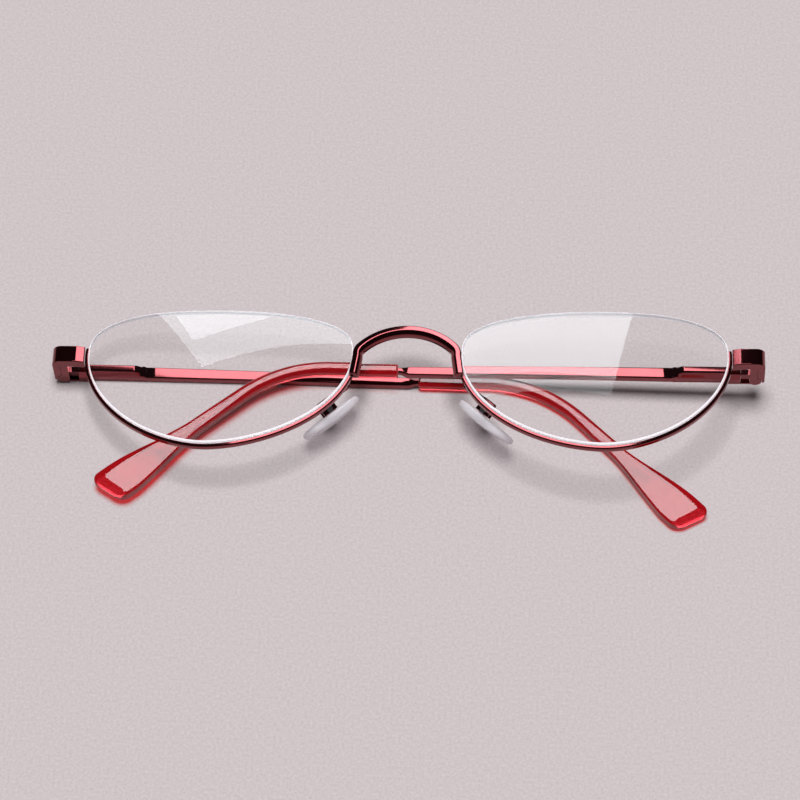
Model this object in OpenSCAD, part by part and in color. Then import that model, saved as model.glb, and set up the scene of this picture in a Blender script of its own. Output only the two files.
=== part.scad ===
// Half-rim reading glasses, lying folded on their back.
// X runs across the front, Y points to the top of the glasses, Z points up
// from the table. The outer temple lies flat, so the front leans a little.

/* [Front] */
// Distance between the two temple hinge axes
hinge_span = 128.6; // [120:0.1:140]
// Angle between the front and each folded temple
fold_tilt = 2.33; // [1.8:0.01:3]
// Slope at which the folded right temple leans down toward the table
right_slope = 2.0; // [0:0.1:2.2]
// Height of the front face of the end pieces above the hinge axes
front_rise = 6.2; // [5.8:0.1:8]

/* [Lenses] */
// Distance from a hinge axis in to the edge of the lens
hinge_to_lens = 5.05; // [4.8:0.05:6]
// Width of a lens from its middle to the temple side
lens_temple_half = 24.6; // [22:0.1:26]
// Width of a lens from its middle to the nose side
lens_nose_half = 24.6; // [22:0.1:25]
// Height of a lens above its widest line
lens_above = 8.45; // [7:0.05:12]
// Height of a lens below its widest line
lens_below = 20.3; // [17:0.05:24]
// Thickness of a lens at its middle
lens_thick = 2.3; // [2.2:0.05:3]
// Radius of the front surface of a lens
lens_front_r = 90; // [80:1:120]
// Radius of the back surface of a lens
lens_back_r = 110; // [100:1:112]
// Height of the front of a lens at its middle above the hinge axes
lens_rise = 9.5; // [9:0.1:11]

/* [Rims] */
// Width of the rim wire seen from the front
rim_w = 0.7; // [0.6:0.05:1.2]
// Depth of the rim wire from front to back
rim_d = 1.2; // [1:0.05:1.6]
// Step from the front of the lens edge back to the rim
rim_set_back = 0.7; // [0.5:0.05:0.9]
// Width of the groove that holds the lens
rim_groove_w = 0.5; // [0.4:0.05:0.6]
// Depth of the groove that holds the lens
rim_groove_d = 0.32; // [0.2:0.02:0.4]
// Height at which the rim ends on the temple side
rim_top_temple = 1.85; // [1.2:0.05:3]
// Height at which the rim ends on the nose side
rim_top_nose = 1.5; // [1:0.05:3]
// Thickness of the nylon line over the open top of a lens
line_d = 0.5; // [0.4:0.05:0.6]

/* [Bridge] */
// Distance from the top of a foot's middle line out to the lens edge
foot_to_lens = 0.966; // [0.95:0.01:1.5]
// Height of the middle of the bar at the top of the arch
arch_top = 4.9; // [4:0.1:8]
// Width of the bar seen from the front
bridge_w = 1.85; // [1.4:0.05:2]
// Depth of the bar from front to back
bridge_d = 2.0; // [1.6:0.1:2.4]
// Radius of the bend from the arch into a foot
shoulder_r = 2.2; // [1.5:0.1:3]
// Length of each straight foot along the rim
foot_len = 4.2; // [3:0.1:5]

/* [Hinges] */
// Height of the end pieces and of the hinge
lug_h = 3.45; // [3.2:0.05:4.5]
// Thickness of the outer wall of an end piece
lug_t = 1.4; // [1.2:0.05:1.6]
// Distance from a hinge axis out to the outer face
hinge_inset = 1.7; // [1.6:0.05:2]
// Radius of the hinge eyes
eye_r = 1.1; // [1:0.05:1.3]
// Height of the middle eye
eye_h = 1.12; // [0.9:0.02:1.4]
// Diameter of the hinge screw
screw_d = 1.0; // [0.8:0.05:1.2]
// Diameter of the head of the hinge screw
screw_head_d = 1.9; // [1.6:0.1:2.1]
// Height of the head of the hinge screw
screw_head_h = 0.45; // [0.3:0.05:0.6]
// Distance of the butt face of a temple from its hinge axis
butt = 0.3; // [0.2:0.05:0.5]
// Running gap all round a screw or pin
pin_gap = 0.03; // [0.02:0.01:0.06]
// Gap between faces that turn past each other
face_gap = 0.05; // [0.04:0.01:0.1]

/* [Spring box] */
// Where the spring box starts, from the hinge axis
box_start = 2.7; // [2.5:0.1:3.2]
// Length of the spring box
box_len = 12.7; // [12:0.1:14]
// Length of the sloping end of the spring box
box_slope = 2.0; // [1:0.1:3]
// Height of the spring box above the hinge axis
box_top = 1.15; // [1.1:0.05:1.6]
// Width of the flat top of the spring box
box_top_w = 1.2; // [1:0.05:1.6]
// Diameter of the bore of the spring box
bore_d = 1.5; // [1.4:0.05:1.6]
// Length of the ring that closes the bore
ring_len = 0.9; // [0.6:0.1:1.2]
// Diameter of the slider rod
rod_d = 0.7; // [0.6:0.05:0.8]
// Length of the head at the end of the slider rod
head_len = 0.8; // [0.5:0.1:1]
// Thickness of the spring wire
wire_d = 0.22; // [0.18:0.01:0.24]
// Number of turns of the spring
turns = 10; // [8:1:11]

/* [Temples] */
// Width of a temple arm at its spring box
arm_w = 2.35; // [2.2:0.05:3]
// Width of a temple arm before its neck
arm_end_w = 1.8; // [1.6:0.05:2.4]
// Thickness of a temple arm
arm_t = 1.5; // [1.3:0.05:1.6]
// Length of the flat arm from the hinge axis
arm_len = 64; // [50:0.5:66]
// Length over which the arm narrows to its wire
neck_len = 1.9; // [1.5:0.1:4]
// Thickness of the wire inside the tip
core_d = 1.2; // [1:0.05:1.4]
// Angle by which the left arm drops below square to the hinge
drop_left = 0.2; // [-1:0.05:1.2]
// Angle by which the right arm drops below square to the hinge
drop_right = -0.45; // [-1:0.05:1.2]
// Length of bare wire between the neck and the plastic tip
bare_wire = 0.3; // [0.2:0.1:3]
// Length of the straight plastic sleeve before the ear bend
sleeve_len = 12.8; // [8:0.1:18]
// Radius of the ear bend
bend_r = 24.5; // [18:0.5:28]
// Angle of the ear bend of the left temple
bend_left = 45.3; // [38:0.1:47]
// Angle of the ear bend of the right temple
bend_right = 41.2; // [38:0.1:47]
// Length of the tip from the start of the ear bend to its broad end
bend_to_end = 50.2; // [46:0.1:54]
// Width of the tip at its mouth
tip_w = 2.6; // [2.4:0.1:3.2]
// Width of the tip at its broad end
paddle_w = 7.3; // [5.5:0.1:7.5]
// Thickness of the tip
tip_t = 2.3; // [2.1:0.05:2.5]
// Length over which the tip widens to its broad end
flare_len = 22.5; // [18:0.5:26]
// Slant of the broad end, which is cut back at its lower corner
end_slant = 15; // [0:1:25]
// Length of the bore from its mouth along the tip
core_len = 50; // [40:1:52]

/* [Nose pads] */
// Distance of a pad screw from the nose edge of the lens
pad_in_lens = 4.35; // [3.5:0.05:6]
// Height of a pad screw, below zero is under the hinge line
pad_y = -9.1; // [-10:0.1:-7]
// Height of a pad screw above the hinge axes
pad_z = 1.3; // [0.8:0.1:2.5]
// Slope of the long side of a pad across the nose
pad_slope = 42; // [30:1:60]
// Angle by which a pad opens toward the face
pad_splay = 22; // [10:1:30]
// Length of a pad
pad_len = 12.9; // [11:0.1:15]
// Width of a pad
pad_w = 6.4; // [5.5:0.1:8]
// Thickness of a pad at its middle
pad_t = 1.75; // [1.4:0.05:2.4]
// Radius of the crowned face of a pad
pad_crown_r = 33; // [20:1:60]
// Radius of the hollow back of a pad
pad_hollow_r = 80; // [60:1:160]
// Distance of the middle of the left pad below its screw
pad_low_left = 0.5; // [0:0.1:2]
// Distance of the middle of the right pad below its screw
pad_low_right = 1.6; // [0:0.1:2]
// Diameter of a pad screw
pad_screw_d = 0.8; // [0.6:0.05:1]
// Length of a pad box
pad_box_len = 3.0; // [2:0.1:3.4]
// Thickness of the walls of a pad box
pad_box_t = 0.4; // [0.35:0.05:0.6]
// Width of the lug of a pad
pad_lug_w = 0.9; // [0.7:0.05:1.2]
// Thickness of a pad arm wire
pad_arm_d = 0.9; // [0.7:0.05:1.1]

/* [Hidden] */

// Colours of the real materials
red_metal = [0.55, 0.06, 0.09];
dark_metal = [0.28, 0.03, 0.06];
clear_optic = [0.86, 0.92, 0.95, 0.4];
clear_line = [0.9, 0.93, 0.97, 0.7];
steel = [0.7, 0.7, 0.72];
clear_pad = [0.9, 0.9, 0.93, 0.6];
red_plastic = [0.8, 0.08, 0.07, 0.8];

// Facets of plain round forms, and of the large lens surfaces
round_fn = 48;
pad_fn = 160;
lens_fn = 200;
// The middle of a lens lies this far below its widest line
lens_drop = 7.0;
// Where the top and bottom of the lens outline peak, toward the nose from the middle
top_peak = -5.0;
bottom_peak = -1.6;
// Roundness of the four quarters of the lens outline
top_nose_n = 3.7;
top_temple_n = 2.9;
bottom_temple_n = 1.84;
bottom_nose_n = 1.86;
outline_steps = 96;
// Clearance between the lens edge and what holds it
edge_gap = 0.04;
// The nylon groove is this deep
line_groove_d = 0.42;
// Radius of the outer corner of an end piece
corner_r = 1.6;
// Thickness of an end piece behind its front face
lug_depth = 1.9;
// Thickness of the leaf that carries the front eyes
leaf_t = 1.4;
// The end piece stands this much taller than the hinge behind it
hinge_play = 0.15;
// The bridge bar stands this far in front of the end pieces
bridge_lift = 1.18;
// How far soldered or pressed pieces run into or stand off each other
touch = 0.02;
// Running gap between a sliding piece and its bore
slide_gap = 0.05;
// Gap between the spring and its bore
spring_gap = 0.08;
// Width and depth of the slot in a hinge screw
driver_slot_w = 0.26;
driver_slot_d = 0.2;

hinge_x = hinge_span / 2;
outer_x = hinge_x + hinge_inset;
lens_offset = hinge_x - hinge_to_lens - lens_temple_half;
lens_nose_x = lens_offset - lens_nose_half;
pad_x = lens_nose_x + pad_in_lens;
tip_start = arm_len + neck_len + bare_wire;
bend_start = tip_start + sleeve_len;
tip_end = bend_start + bend_to_end;
// The arch of the bridge spans between its shoulders, which spread each foot by a lean
shoulder_angle = 46;
foot_lean = 8;
foot_x = lens_nose_x - foot_to_lens;
arch_r = shoulder_r + (foot_x - shoulder_r * cos(foot_lean)) / sin(shoulder_angle);
lens_z = lens_rise - lens_front_r;
lug_in = lens_offset + lens_temple_half + rim_w - touch;
arm_low = -hinge_inset;
arm_high = arm_low + arm_t;
plate_high = -eye_r - face_gap;
slot_h = eye_h + 2 * face_gap;
box_end = box_start + box_len;
head_start = box_end - box_slope - head_len;
ring_end = box_start + 0.1 + ring_len;
spring_r = (bore_d - wire_d) / 2 - spring_gap;
tip_mid = arm_low + tip_t / 2;
hinge_h = lug_h - hinge_play;

// Height of the ends of the rim, where the bare top of the lens begins
rim_ends = (rim_top_temple + rim_top_nose) / 2;
// The rim lies a little forward of its groove, so that the back wall is the thicker one
groove_shift = 0.15;
// The lens ridge and the nylon groove lie this far behind the front of the edge
ridge_mid = rim_set_back + rim_d / 2 - groove_shift;
// The lens falls away at its edge, so its ridge stands this much forward and is narrower
bowl_fall = 0.09;
ridge_w = rim_groove_w - 2 * edge_gap - bowl_fall;
ridge_d = rim_groove_d - edge_gap;

// Pad box: how far it stands to the front and to the back of its screw
pad_box_front = 0.6;
pad_lug_r = 0.75;
pad_box_back = pad_lug_r + face_gap + pad_box_t;
pad_stand = 0.95;

// The round bore clears the corners of the wire by this much all round
core_gap = 0.09;
// Rounding of the mouth of the tip and of its broad end
mouth_round = 0.35;
end_round = 2.0;
// Share of the width and of the thickness that the broad end loses as it closes
end_share_w = 0.55;
end_share_t = 0.8;
// The slant of the broad end builds up over this length
slant_len = 9;
// First ring of the sleeve behind its mouth, and first ring behind the ear bend
mouth_to_ring = 5;
bend_to_ring = 3;

// Place of the whole on the table: the outer temple lies on Z = 0
right_hinge_x = -hinge_x + hinge_span * cos(fold_tilt);
right_hinge_z = hinge_inset + hinge_span * sin(fold_tilt);
low_y = min([for (r = tip_rings(-1), p = r) p[1]]);
high_y = lens_above + line_d - line_groove_d + 2 * touch;
left_x = -hinge_x - hinge_inset * cos(fold_tilt) - (front_rise - corner_r) * sin(fold_tilt);
right_x = right_hinge_x + hinge_inset * cos(fold_tilt);
centre = [-(left_x + right_x) / 2, -(low_y + high_y) / 2, 0];

module in_front(side) {
    translate(centre)
        translate([-hinge_x, 0, hinge_inset])
            rotate([0, -fold_tilt, 0])
                translate([hinge_x, 0, 0])
                    mirror([side < 0 ? 0 : 1, 0, 0])
                        children();
}

module in_temple(side) {
    translate(centre)
        translate([side < 0 ? -hinge_x : right_hinge_x, 0, side < 0 ? hinge_inset : right_hinge_z])
            mirror([side < 0 ? 0 : 1, 0, 0])
                rotate([0, side < 0 ? 0 : right_slope, 0])
                    children();
}

module in_hinge() {
    translate([-hinge_x, 0, 0])
        children();
}

// Sweeps: a section list per ring is carried along a path. A section's point is its place
// across, its height and, for a ring that isn't flat, how far it stands out along the path.
function unit(v) = v / norm(v);
function tangent(path, i) = unit(path[min(i + 1, len(path) - 1)] - path[max(i - 1, 0)]);
function ring(p, t, up, section) =
    let (s = unit(cross(up, t)), u = cross(t, s))
    [for (q = section) p + q[0] * s + q[1] * u + (len(q) > 2 ? q[2] : 0) * t];
function rings_along(path, sections, up) =
    [for (i = [0 : len(path) - 1]) ring(path[i], tangent(path, i), up, sections[i])];
function round_section(w, h, sides, n) =
    [for (k = [0 : sides - 1])
        let (a = 360 * (k + 0.5) / sides, c = cos(a), s = sin(a))
        [w / 2 * sign(c) * pow(abs(c), 2 / n), h / 2 * sign(s) * pow(abs(s), 2 / n)]];
// A bar with cut corners; a cut of 0.293 of the width of a square bar makes a regular octagon
function bar_section(width, depth, c) =
    let (w = width / 2, d = depth / 2)
    [[w, c - d], [w, d - c], [w - c, d], [c - w, d], [-w, d - c], [-w, c - d], [c - w, -d], [w - c, -d]];
function repeat(section, count) = [for (i = [1 : count]) section];

function side_faces(m, count, base, flip) =
    [for (i = [0 : count - 2], k = [0 : m - 1])
        let (a = base + i * m + k, b = base + i * m + (k + 1) % m, c = b + m, d = a + m)
        each flip ? [[a, c, b], [a, d, c]] : [[a, b, c], [a, c, d]]];
// An end cap joins the two halves of a ring like the rungs of a ladder
function cap_faces(m, first, flip) =
    [for (k = [0 : m / 2 - 2])
        let (a = first + k, b = a + 1, c = first + m - 2 - k, d = c + 1)
        each flip ? [[a, c, b], [a, d, c]] : [[a, b, c], [a, c, d]]];

module skin(rings) {
    m = len(rings[0]);
    count = len(rings);
    polyhedron(
        points = [for (r = rings, p = r) p],
        faces = concat(
            side_faces(m, count, 0, false),
            cap_faces(m, 0, true),
            cap_faces(m, (count - 1) * m, false)
        )
    );
}

// A skin with a blind bore from its first ring, both with the same number of sides
module bored_skin(outer, inner) {
    m = len(outer[0]);
    base = len(outer) * m;
    mouth = [for (k = [0 : m - 1])
        let (j = (k + 1) % m)
        each [[k, base + j, j], [k, base + k, base + j]]];
    polyhedron(
        points = [for (r = concat(outer, inner), p = r) p],
        faces = concat(
            side_faces(m, len(outer), 0, false),
            side_faces(m, len(inner), base, true),
            cap_faces(m, base - m, false),
            cap_faces(m, base + (len(inner) - 1) * m, true),
            mouth
        )
    );
}

// The lens outline: four quarter superellipses that share tangents. Angle 0 is the nose side.
function quarter(angle, a, b, n) =
    [a * pow(abs(cos(angle)), 2 / n), b * pow(abs(sin(angle)), 2 / n)];
function outline(angle) =
    let (
        w = (angle + 720) % 360,
        above = w < 180,
        nose = w < 90 || w > 270,
        peak = above ? top_peak : bottom_peak,
        a = nose ? lens_nose_half - peak : lens_temple_half + peak,
        b = above ? lens_above : lens_below,
        n = above ? (nose ? top_nose_n : top_temple_n) : (nose ? bottom_nose_n : bottom_temple_n),
        q = quarter(w, a, b, n)
    )
    [peak + (nose ? q[0] : -q[0]), above ? q[1] : -q[1]];
function outline_normal(angle) =
    let (d = unit(outline(angle + 0.5) - outline(angle - 0.5)))
    [d[1], -d[0]];
function outset(angle, by) = outline(angle) + by * outline_normal(angle);
// The angle at which the upper outline stands at a height
function angle_at(height, n) = asin(pow(height / lens_above, n / 2));
function lens_front_z(p) =
    lens_z + sqrt(pow(lens_front_r, 2) - pow(p[0], 2) - pow(p[1] + lens_drop, 2));
function on_lens(angle, by, back) =
    let (p = outset(angle, by))
    [p[0] - lens_offset, p[1], lens_front_z(p) - back];

// An upright prism of the lens outline, tall enough for the whole bowl of the lens
prism_below = 12;
prism_h = 14;
module lens_prism(by) {
    translate([0, 0, lens_rise - prism_below])
        linear_extrude(prism_h)
            polygon([for (i = [0 : outline_steps - 1]) outset(i * outline_step, by)]);
}

// Angles from one end of an edge to the other, by way of the corners of the prism
outline_step = 360 / outline_steps;
function edge_angles(first, last) = concat(
    [first],
    [for (i = [ceil(first / outline_step + 0.2) : floor(last / outline_step - 0.2)]) i * outline_step],
    [last]
);

module front_shell(from, to) {
    translate([0, -lens_drop, lens_z])
        difference() {
            sphere(r = lens_front_r - from, $fn = lens_fn);
            sphere(r = lens_front_r - to, $fn = lens_fn);
        }
}

// A block round the lens edge, above or below the ends of the rim
module half_space(low, high) {
    translate([-lens_temple_half - 2, low, lens_rise - prism_below])
        cube([lens_temple_half + lens_nose_half + 4, high - low, prism_h]);
}

// Lens: a meniscus with a ridge round the part in the rim and a groove round the bare part
module lens_solid() {
    groove_half = line_d / 2 + 2 * edge_gap;
    translate([-lens_offset, 0, 0]) {
        difference() {
            intersection() {
                lens_prism(0);
                translate([0, -lens_drop, lens_z])
                    sphere(r = lens_front_r, $fn = lens_fn);
            }
            translate([0, -lens_drop, lens_rise - lens_thick - lens_back_r])
                sphere(r = lens_back_r, $fn = lens_fn);
            intersection() {
                difference() {
                    lens_prism(1);
                    lens_prism(-line_groove_d);
                }
                front_shell(ridge_mid - groove_half, ridge_mid + groove_half);
                half_space(rim_top_nose, lens_above + 2);
            }
        }
        intersection() {
            difference() {
                lens_prism(ridge_d);
                lens_prism(-line_groove_d);
            }
            front_shell(ridge_mid - bowl_fall - ridge_w / 2, ridge_mid - bowl_fall + ridge_w / 2);
            half_space(-lens_below - 2, rim_ends - 1);
        }
    }
}

// Rim: a channel that follows the lens edge round the bottom
module rim_wire() {
    first = 180 - angle_at(rim_top_temple, top_temple_n);
    last = 360 + angle_at(rim_top_nose, top_nose_n);
    edge = 0.15;
    flare = 0.03;
    lip = rim_d / 2 - groove_shift - rim_groove_w / 2;
    foot = lip + rim_groove_w;
    section = [
        [edge_gap, 0], [edge_gap, -lip], [rim_groove_d, -lip - flare],
        [rim_groove_d, flare - foot], [edge_gap, -foot], [edge_gap, -rim_d],
        [rim_w - edge, -rim_d], [rim_w, edge - rim_d], [rim_w, -foot],
        [rim_w, -lip], [rim_w, -edge], [rim_w - edge, 0]
    ];
    skin([for (a = edge_angles(first, last))
        let (n = outline_normal(a))
        [for (q = section) on_lens(a, 0, rim_set_back) + [q[0] * n[0], q[0] * n[1], q[1]]]]);
}

module rim(side) {
    color(red_metal)
        in_front(side)
            rim_wire();
}

module lens(side) {
    color(clear_optic)
        in_front(side)
            lens_solid();
}

// Nylon line: lies in the groove over the bare top of the lens
module nylon_line(side) {
    past_rim = 0.1;
    first = angle_at(rim_top_nose + past_rim, top_nose_n);
    last = 180 - angle_at(rim_top_temple + past_rim, top_temple_n);
    path = [for (a = edge_angles(first, last))
        on_lens(a, line_d / 2 - line_groove_d + 2 * touch, ridge_mid)];
    color(clear_line)
        in_front(side)
            skin(rings_along(path, repeat(round_section(line_d, line_d, 8, 2), len(path)), [0, 0, 1]));
}

// Bridge: half of its middle line from the top of the arch to the end of a foot
function arch_point(a) = [-arch_r * sin(a), arch_top - arch_r * (1 - cos(a))];
function shoulder_centre() =
    [-(arch_r - shoulder_r) * sin(shoulder_angle),
        arch_top - arch_r + (arch_r - shoulder_r) * cos(shoulder_angle)];
function shoulder_point(a) = shoulder_centre() + shoulder_r * [-sin(a), cos(a)];
function foot_point(d) =
    shoulder_point(90 + foot_lean) + d * [-sin(foot_lean), -cos(foot_lean)];
function half_bridge() = concat(
    [for (i = [0 : 9]) arch_point(shoulder_angle * i / 9)],
    [for (i = [1 : 6]) shoulder_point(shoulder_angle + (90 + foot_lean - shoulder_angle) * i / 6)],
    [for (i = [1 : 3]) foot_point(foot_len * i / 3)]
);

module bridge() {
    half = half_bridge();
    n = len(half);
    z = front_rise + bridge_lift - bridge_d / 2;
    cut = 0.4;
    path = concat(
        [for (i = [n - 1 : -1 : 0]) at_height(half[i], z)],
        [for (i = [1 : n - 1]) [-half[i][0], half[i][1], z]]
    );
    color(dark_metal)
        in_front(-1)
            skin(rings_along(path, repeat(bar_section(bridge_w, bridge_d, cut), len(path)), [0, 0, 1]));
}

// End piece: wraps from the front round the corner to the butt face of the temple
module lug_profile() {
    back = front_rise - lug_depth;
    slant = 2.2;
    edge = lens_front_z([-lens_temple_half, 0]) - rim_set_back;
    difference() {
        union() {
            polygon([[-outer_x, face_gap - butt], [lug_t - outer_x, face_gap - butt], [lug_t - outer_x, back],
                [lug_t - outer_x + leaf_t, back], [-lug_in, edge - rim_d], [-lug_in, edge], [-lug_in - slant, front_rise],
                [corner_r - outer_x, front_rise], [corner_r - outer_x, front_rise - corner_r],
                [-outer_x, front_rise - corner_r]]);
            intersection() {
                translate([corner_r - outer_x, front_rise - corner_r])
                    circle(r = corner_r, $fn = round_fn);
                translate([-outer_x, front_rise - corner_r])
                    square(corner_r);
            }
        }
        translate([-hinge_x, 0])
            circle(r = eye_r + face_gap, $fn = round_fn);
    }
}

module endpiece(side) {
    color(dark_metal)
        in_front(side)
            translate([0, lug_h / 2, 0])
                rotate([90, 0, 0])
                    linear_extrude(lug_h)
                        lug_profile();
}

// A round bar along Y in the hinge frame
module y_bar(r, from, to) {
    translate([0, to, 0])
        rotate([90, 0, 0])
            cylinder(r = r, h = to - from, $fn = round_fn);
}

// A round bar along X
module x_bar(r, from, to) {
    translate([from, 0, 0])
        rotate([0, 90, 0])
            cylinder(r = r, h = to - from, $fn = round_fn);
}

// Front half of the hinge: two eyes on a leaf behind the end piece
module front_hinge(side) {
    leaf_in = lug_t - hinge_inset;
    leaf_top = front_rise - lug_depth;
    reach = 3;
    over_eye = 0.3;
    color(dark_metal)
        in_front(side)
            in_hinge()
                difference() {
                    union() {
                        y_bar(eye_r, -hinge_h / 2, hinge_h / 2);
                        translate([leaf_in, -hinge_h / 2, 0])
                            cube([leaf_t, hinge_h, leaf_top]);
                    }
                    y_bar(screw_d / 2 + pin_gap, -hinge_h, hinge_h);
                    translate([-reach, -slot_h / 2, -reach])
                        cube([2 * reach, slot_h, reach + eye_r + over_eye]);
                }
}

module hinge_screw(side) {
    head_top = hinge_h / 2 + screw_head_h;
    color(steel)
        in_front(side)
            in_hinge()
                difference() {
                    union() {
                        y_bar(screw_d / 2, -hinge_h / 2, hinge_h / 2);
                        y_bar(screw_head_d / 2, hinge_h / 2, head_top);
                    }
                    translate([-screw_head_d, head_top - driver_slot_d, -driver_slot_w / 2])
                        cube([2 * screw_head_d, 1, driver_slot_w]);
                }
}

// Slider: the middle hinge eye with its rod and head, drawn back by the spring
module hinge_slider(side) {
    web_t = 1.4;
    color(steel)
        in_temple(side)
            difference() {
                union() {
                    y_bar(eye_r, -eye_h / 2, eye_h / 2);
                    translate([0, -eye_h / 2, -web_t / 2])
                        cube([box_start - face_gap, eye_h, web_t]);
                    x_bar(rod_d / 2, box_start - 2 * face_gap, head_start + touch);
                    x_bar(bore_d / 2 - slide_gap, head_start, head_start + head_len);
                }
                y_bar(screw_d / 2 + pin_gap, -eye_h, eye_h);
            }
}

// Coil spring round the slider rod, between the closing ring and the head
function spring_pitch() = (head_start - ring_end - wire_d - 2 * touch) / turns;
module hinge_spring(side) {
    start = ring_end + wire_d / 2 + touch;
    steps = turns * 8;
    path = [for (i = [0 : steps])
        let (a = 360 * i / 8)
        [start + spring_pitch() * i / 8, spring_r * cos(a), spring_r * sin(a)]];
    echo(least_gap_between_spring_turns = spring_pitch() - wire_d);
    color(steel)
        in_temple(side)
            skin(rings_along(path, repeat(round_section(wire_d, wire_d, 6, 2), steps + 1), [1, 0, 0]));
}

module spring_ring(side) {
    color(steel)
        in_temple(side)
            difference() {
                x_bar(bore_d / 2, ring_end - ring_len, ring_end);
                x_bar(rod_d / 2 + slide_gap, 0, box_end);
            }
}

// Spring box: a roofed block on the inner face of the arm, bored for the spring
module spring_box(side) {
    w = arm_w / 2;
    t = box_top_w / 2;
    eaves = -0.2;
    color(dark_metal)
        in_temple(side)
            difference() {
                translate([box_start, 0, 0])
                    rotate([90, 0, 90])
                        linear_extrude(box_len)
                            polygon([[-w, plate_high], [w, plate_high], [w, eaves],
                                [t, box_top], [-t, box_top], [-w, eaves]]);
                x_bar(bore_d / 2, 0, head_start + head_len + slide_gap);
                translate([box_end - box_slope, 0, box_top])
                    rotate([0, atan2(box_top - arm_high, box_slope), 0])
                        translate([0, -w - 1, 0])
                            cube([box_slope * 3, arm_w + 2, 3]);
            }
}

// Middle line of the temple: straight, ear bend, straight tail. d is the length along it.
function bend_of(side) = side < 0 ? bend_left : bend_right;
function drop_of(side) = side < 0 ? drop_left : drop_right;
function bend_len(turn) = bend_r * turn * PI / 180;
function bent(a) = [bend_start + bend_r * sin(a), bend_r * (cos(a) - 1)];
function flat_path(d, turn) =
    let (past = d - bend_start, tail = past - bend_len(turn))
    past < 0 ? [d, 0]
    : tail < 0 ? bent(turn * past / bend_len(turn))
    : bent(turn) + tail * [cos(turn), -sin(turn)];
// The drop turns everything past the spring box down by a small angle
function arm_path(d, turn, drop) =
    let (p = flat_path(d, turn) - [box_end, 0], a = d < box_end ? 0 : -drop)
    [box_end + p[0] * cos(a) - p[1] * sin(a), p[0] * sin(a) + p[1] * cos(a)];
function at_height(p, z) = [p[0], p[1], z];
function along(from, to, steps) = [for (i = [0 : steps]) from + (to - from) * i / steps];

// Temple arm: a thin butt plate under the spring box, then a flat bar that
// narrows to a wire running inside the tip. One station is length, width, thickness, middle, cut.
module temple_arm(side) {
    turn = bend_of(side);
    bore_end_gap = 1;
    bend_step = 1.5;
    core_end = tip_start + core_len - bore_end_gap;
    bar_mid = (arm_low + arm_high) / 2;
    plate_t = plate_high - arm_low;
    plate_mid = (arm_low + plate_high) / 2;
    cut = 0.18;
    octagon = core_d * 0.293;
    stations = concat(
        [[butt, arm_w, plate_t, plate_mid, cut], [box_end, arm_w, plate_t, plate_mid, cut]],
        [[box_end + 2 * face_gap, arm_w, arm_t, bar_mid, cut], [arm_len, arm_end_w, arm_t, bar_mid, cut]],
        [for (k = [0.3, 0.7, 1])
            [arm_len + neck_len * k, arm_end_w + (core_d - arm_end_w) * k, arm_t + (core_d - arm_t) * k,
                bar_mid + (tip_mid - bar_mid) * k, cut + (octagon - cut) * k]],
        [for (d = concat([tip_start, bend_start], along(bend_start + bend_step, core_end, 18)))
            [d, core_d, core_d, tip_mid, octagon]]
    );
    path = [for (s = stations) at_height(arm_path(s[0], turn, drop_of(side)), s[3])];
    color(red_metal)
        in_temple(side)
            skin(rings_along(path, [for (s = stations) bar_section(s[1], s[2], s[4])], [0, 0, 1]));
}

// Temple tip: a bored sleeve that widens to a flat, round-edged paddle
module temple_tip(side) {
    turn = bend_of(side);
    bore = core_d + 2 * core_gap;
    bend_end = bend_start + bend_len(turn);
    bored = concat([tip_start, tip_start + mouth_to_ring], along(bend_start, bend_end, 10),
        along(bend_end + bend_to_ring, tip_start + core_len, 3));
    color(red_plastic)
        in_temple(side)
            bored_skin(
                tip_rings(side),
                rings_along([for (d = bored) at_height(arm_path(d, turn, drop_of(side)), tip_mid)],
                    repeat(round_section(bore, bore, 12, 2), len(bored)), [0, 0, 1])
            );
}

function tip_rings(side) =
    let (
        turn = bend_of(side),
        bend_end = bend_start + bend_len(turn),
        stations = concat(
            [tip_start, tip_start + mouth_round, tip_start + mouth_to_ring],
            along(bend_start, bend_end, 10),
            along(bend_end + bend_to_ring, tip_end - end_round, 9),
            [for (a = [30, 55, 75, 88]) tip_end - end_round * (1 - sin(a))]
        )
    )
    rings_along([for (d = stations) at_height(arm_path(d, turn, drop_of(side)), tip_mid)],
        [for (d = stations) tip_section(d)], [0, 0, 1]);
function smooth(k) = k * k * (3 - 2 * k);
// Share of the way from a start to an end, held between 0 and 1
function share(d, start, end) = min(1, max(0, (d - start) / (end - start)));
function tip_section(d) =
    let (
        w = tip_w + (paddle_w - tip_w) * smooth(share(d, tip_end - flare_len, tip_end - 2 * end_round)),
        close = sqrt(1 - pow(share(d, tip_end - end_round, tip_end), 2)),
        mouth = d < tip_start + mouth_round ? 2 * mouth_round : 0,
        slant = tan(end_slant) * smooth(share(d, tip_end - slant_len, tip_end - end_round)),
        section = round_section((w - mouth) * (1 - end_share_w + end_share_w * close),
            (tip_t - mouth) * (1 - end_share_t + end_share_t * close), 12, 3)
    )
    [for (q = section) [q[0], q[1], slant * (q[0] - w / 2)]];

// Pad frame: X along the pad, Y along its screw, Z toward the nose
module in_pad(side) {
    in_front(side)
        translate([-pad_x, pad_y, pad_z])
            rotate([0, 0, pad_slope])
                rotate([90 + pad_splay, 0, 0])
                    children();
}

// Pad box: three walls round the lug, open toward the nose
module pad_box(side) {
    inner = pad_lug_w / 2 + face_gap;
    outer = inner + pad_box_t;
    color(dark_metal)
        in_pad(side)
            difference() {
                translate([-pad_box_len / 2, -outer, -pad_box_back])
                    cube([pad_box_len, 2 * outer, pad_box_back + pad_box_front]);
                translate([-pad_box_len, -inner, pad_box_t - pad_box_back])
                    cube([2 * pad_box_len, 2 * inner, 2 * pad_box_back]);
                y_bar(pad_screw_d / 2 + pin_gap, -pad_box_len, pad_box_len);
            }
}

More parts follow.
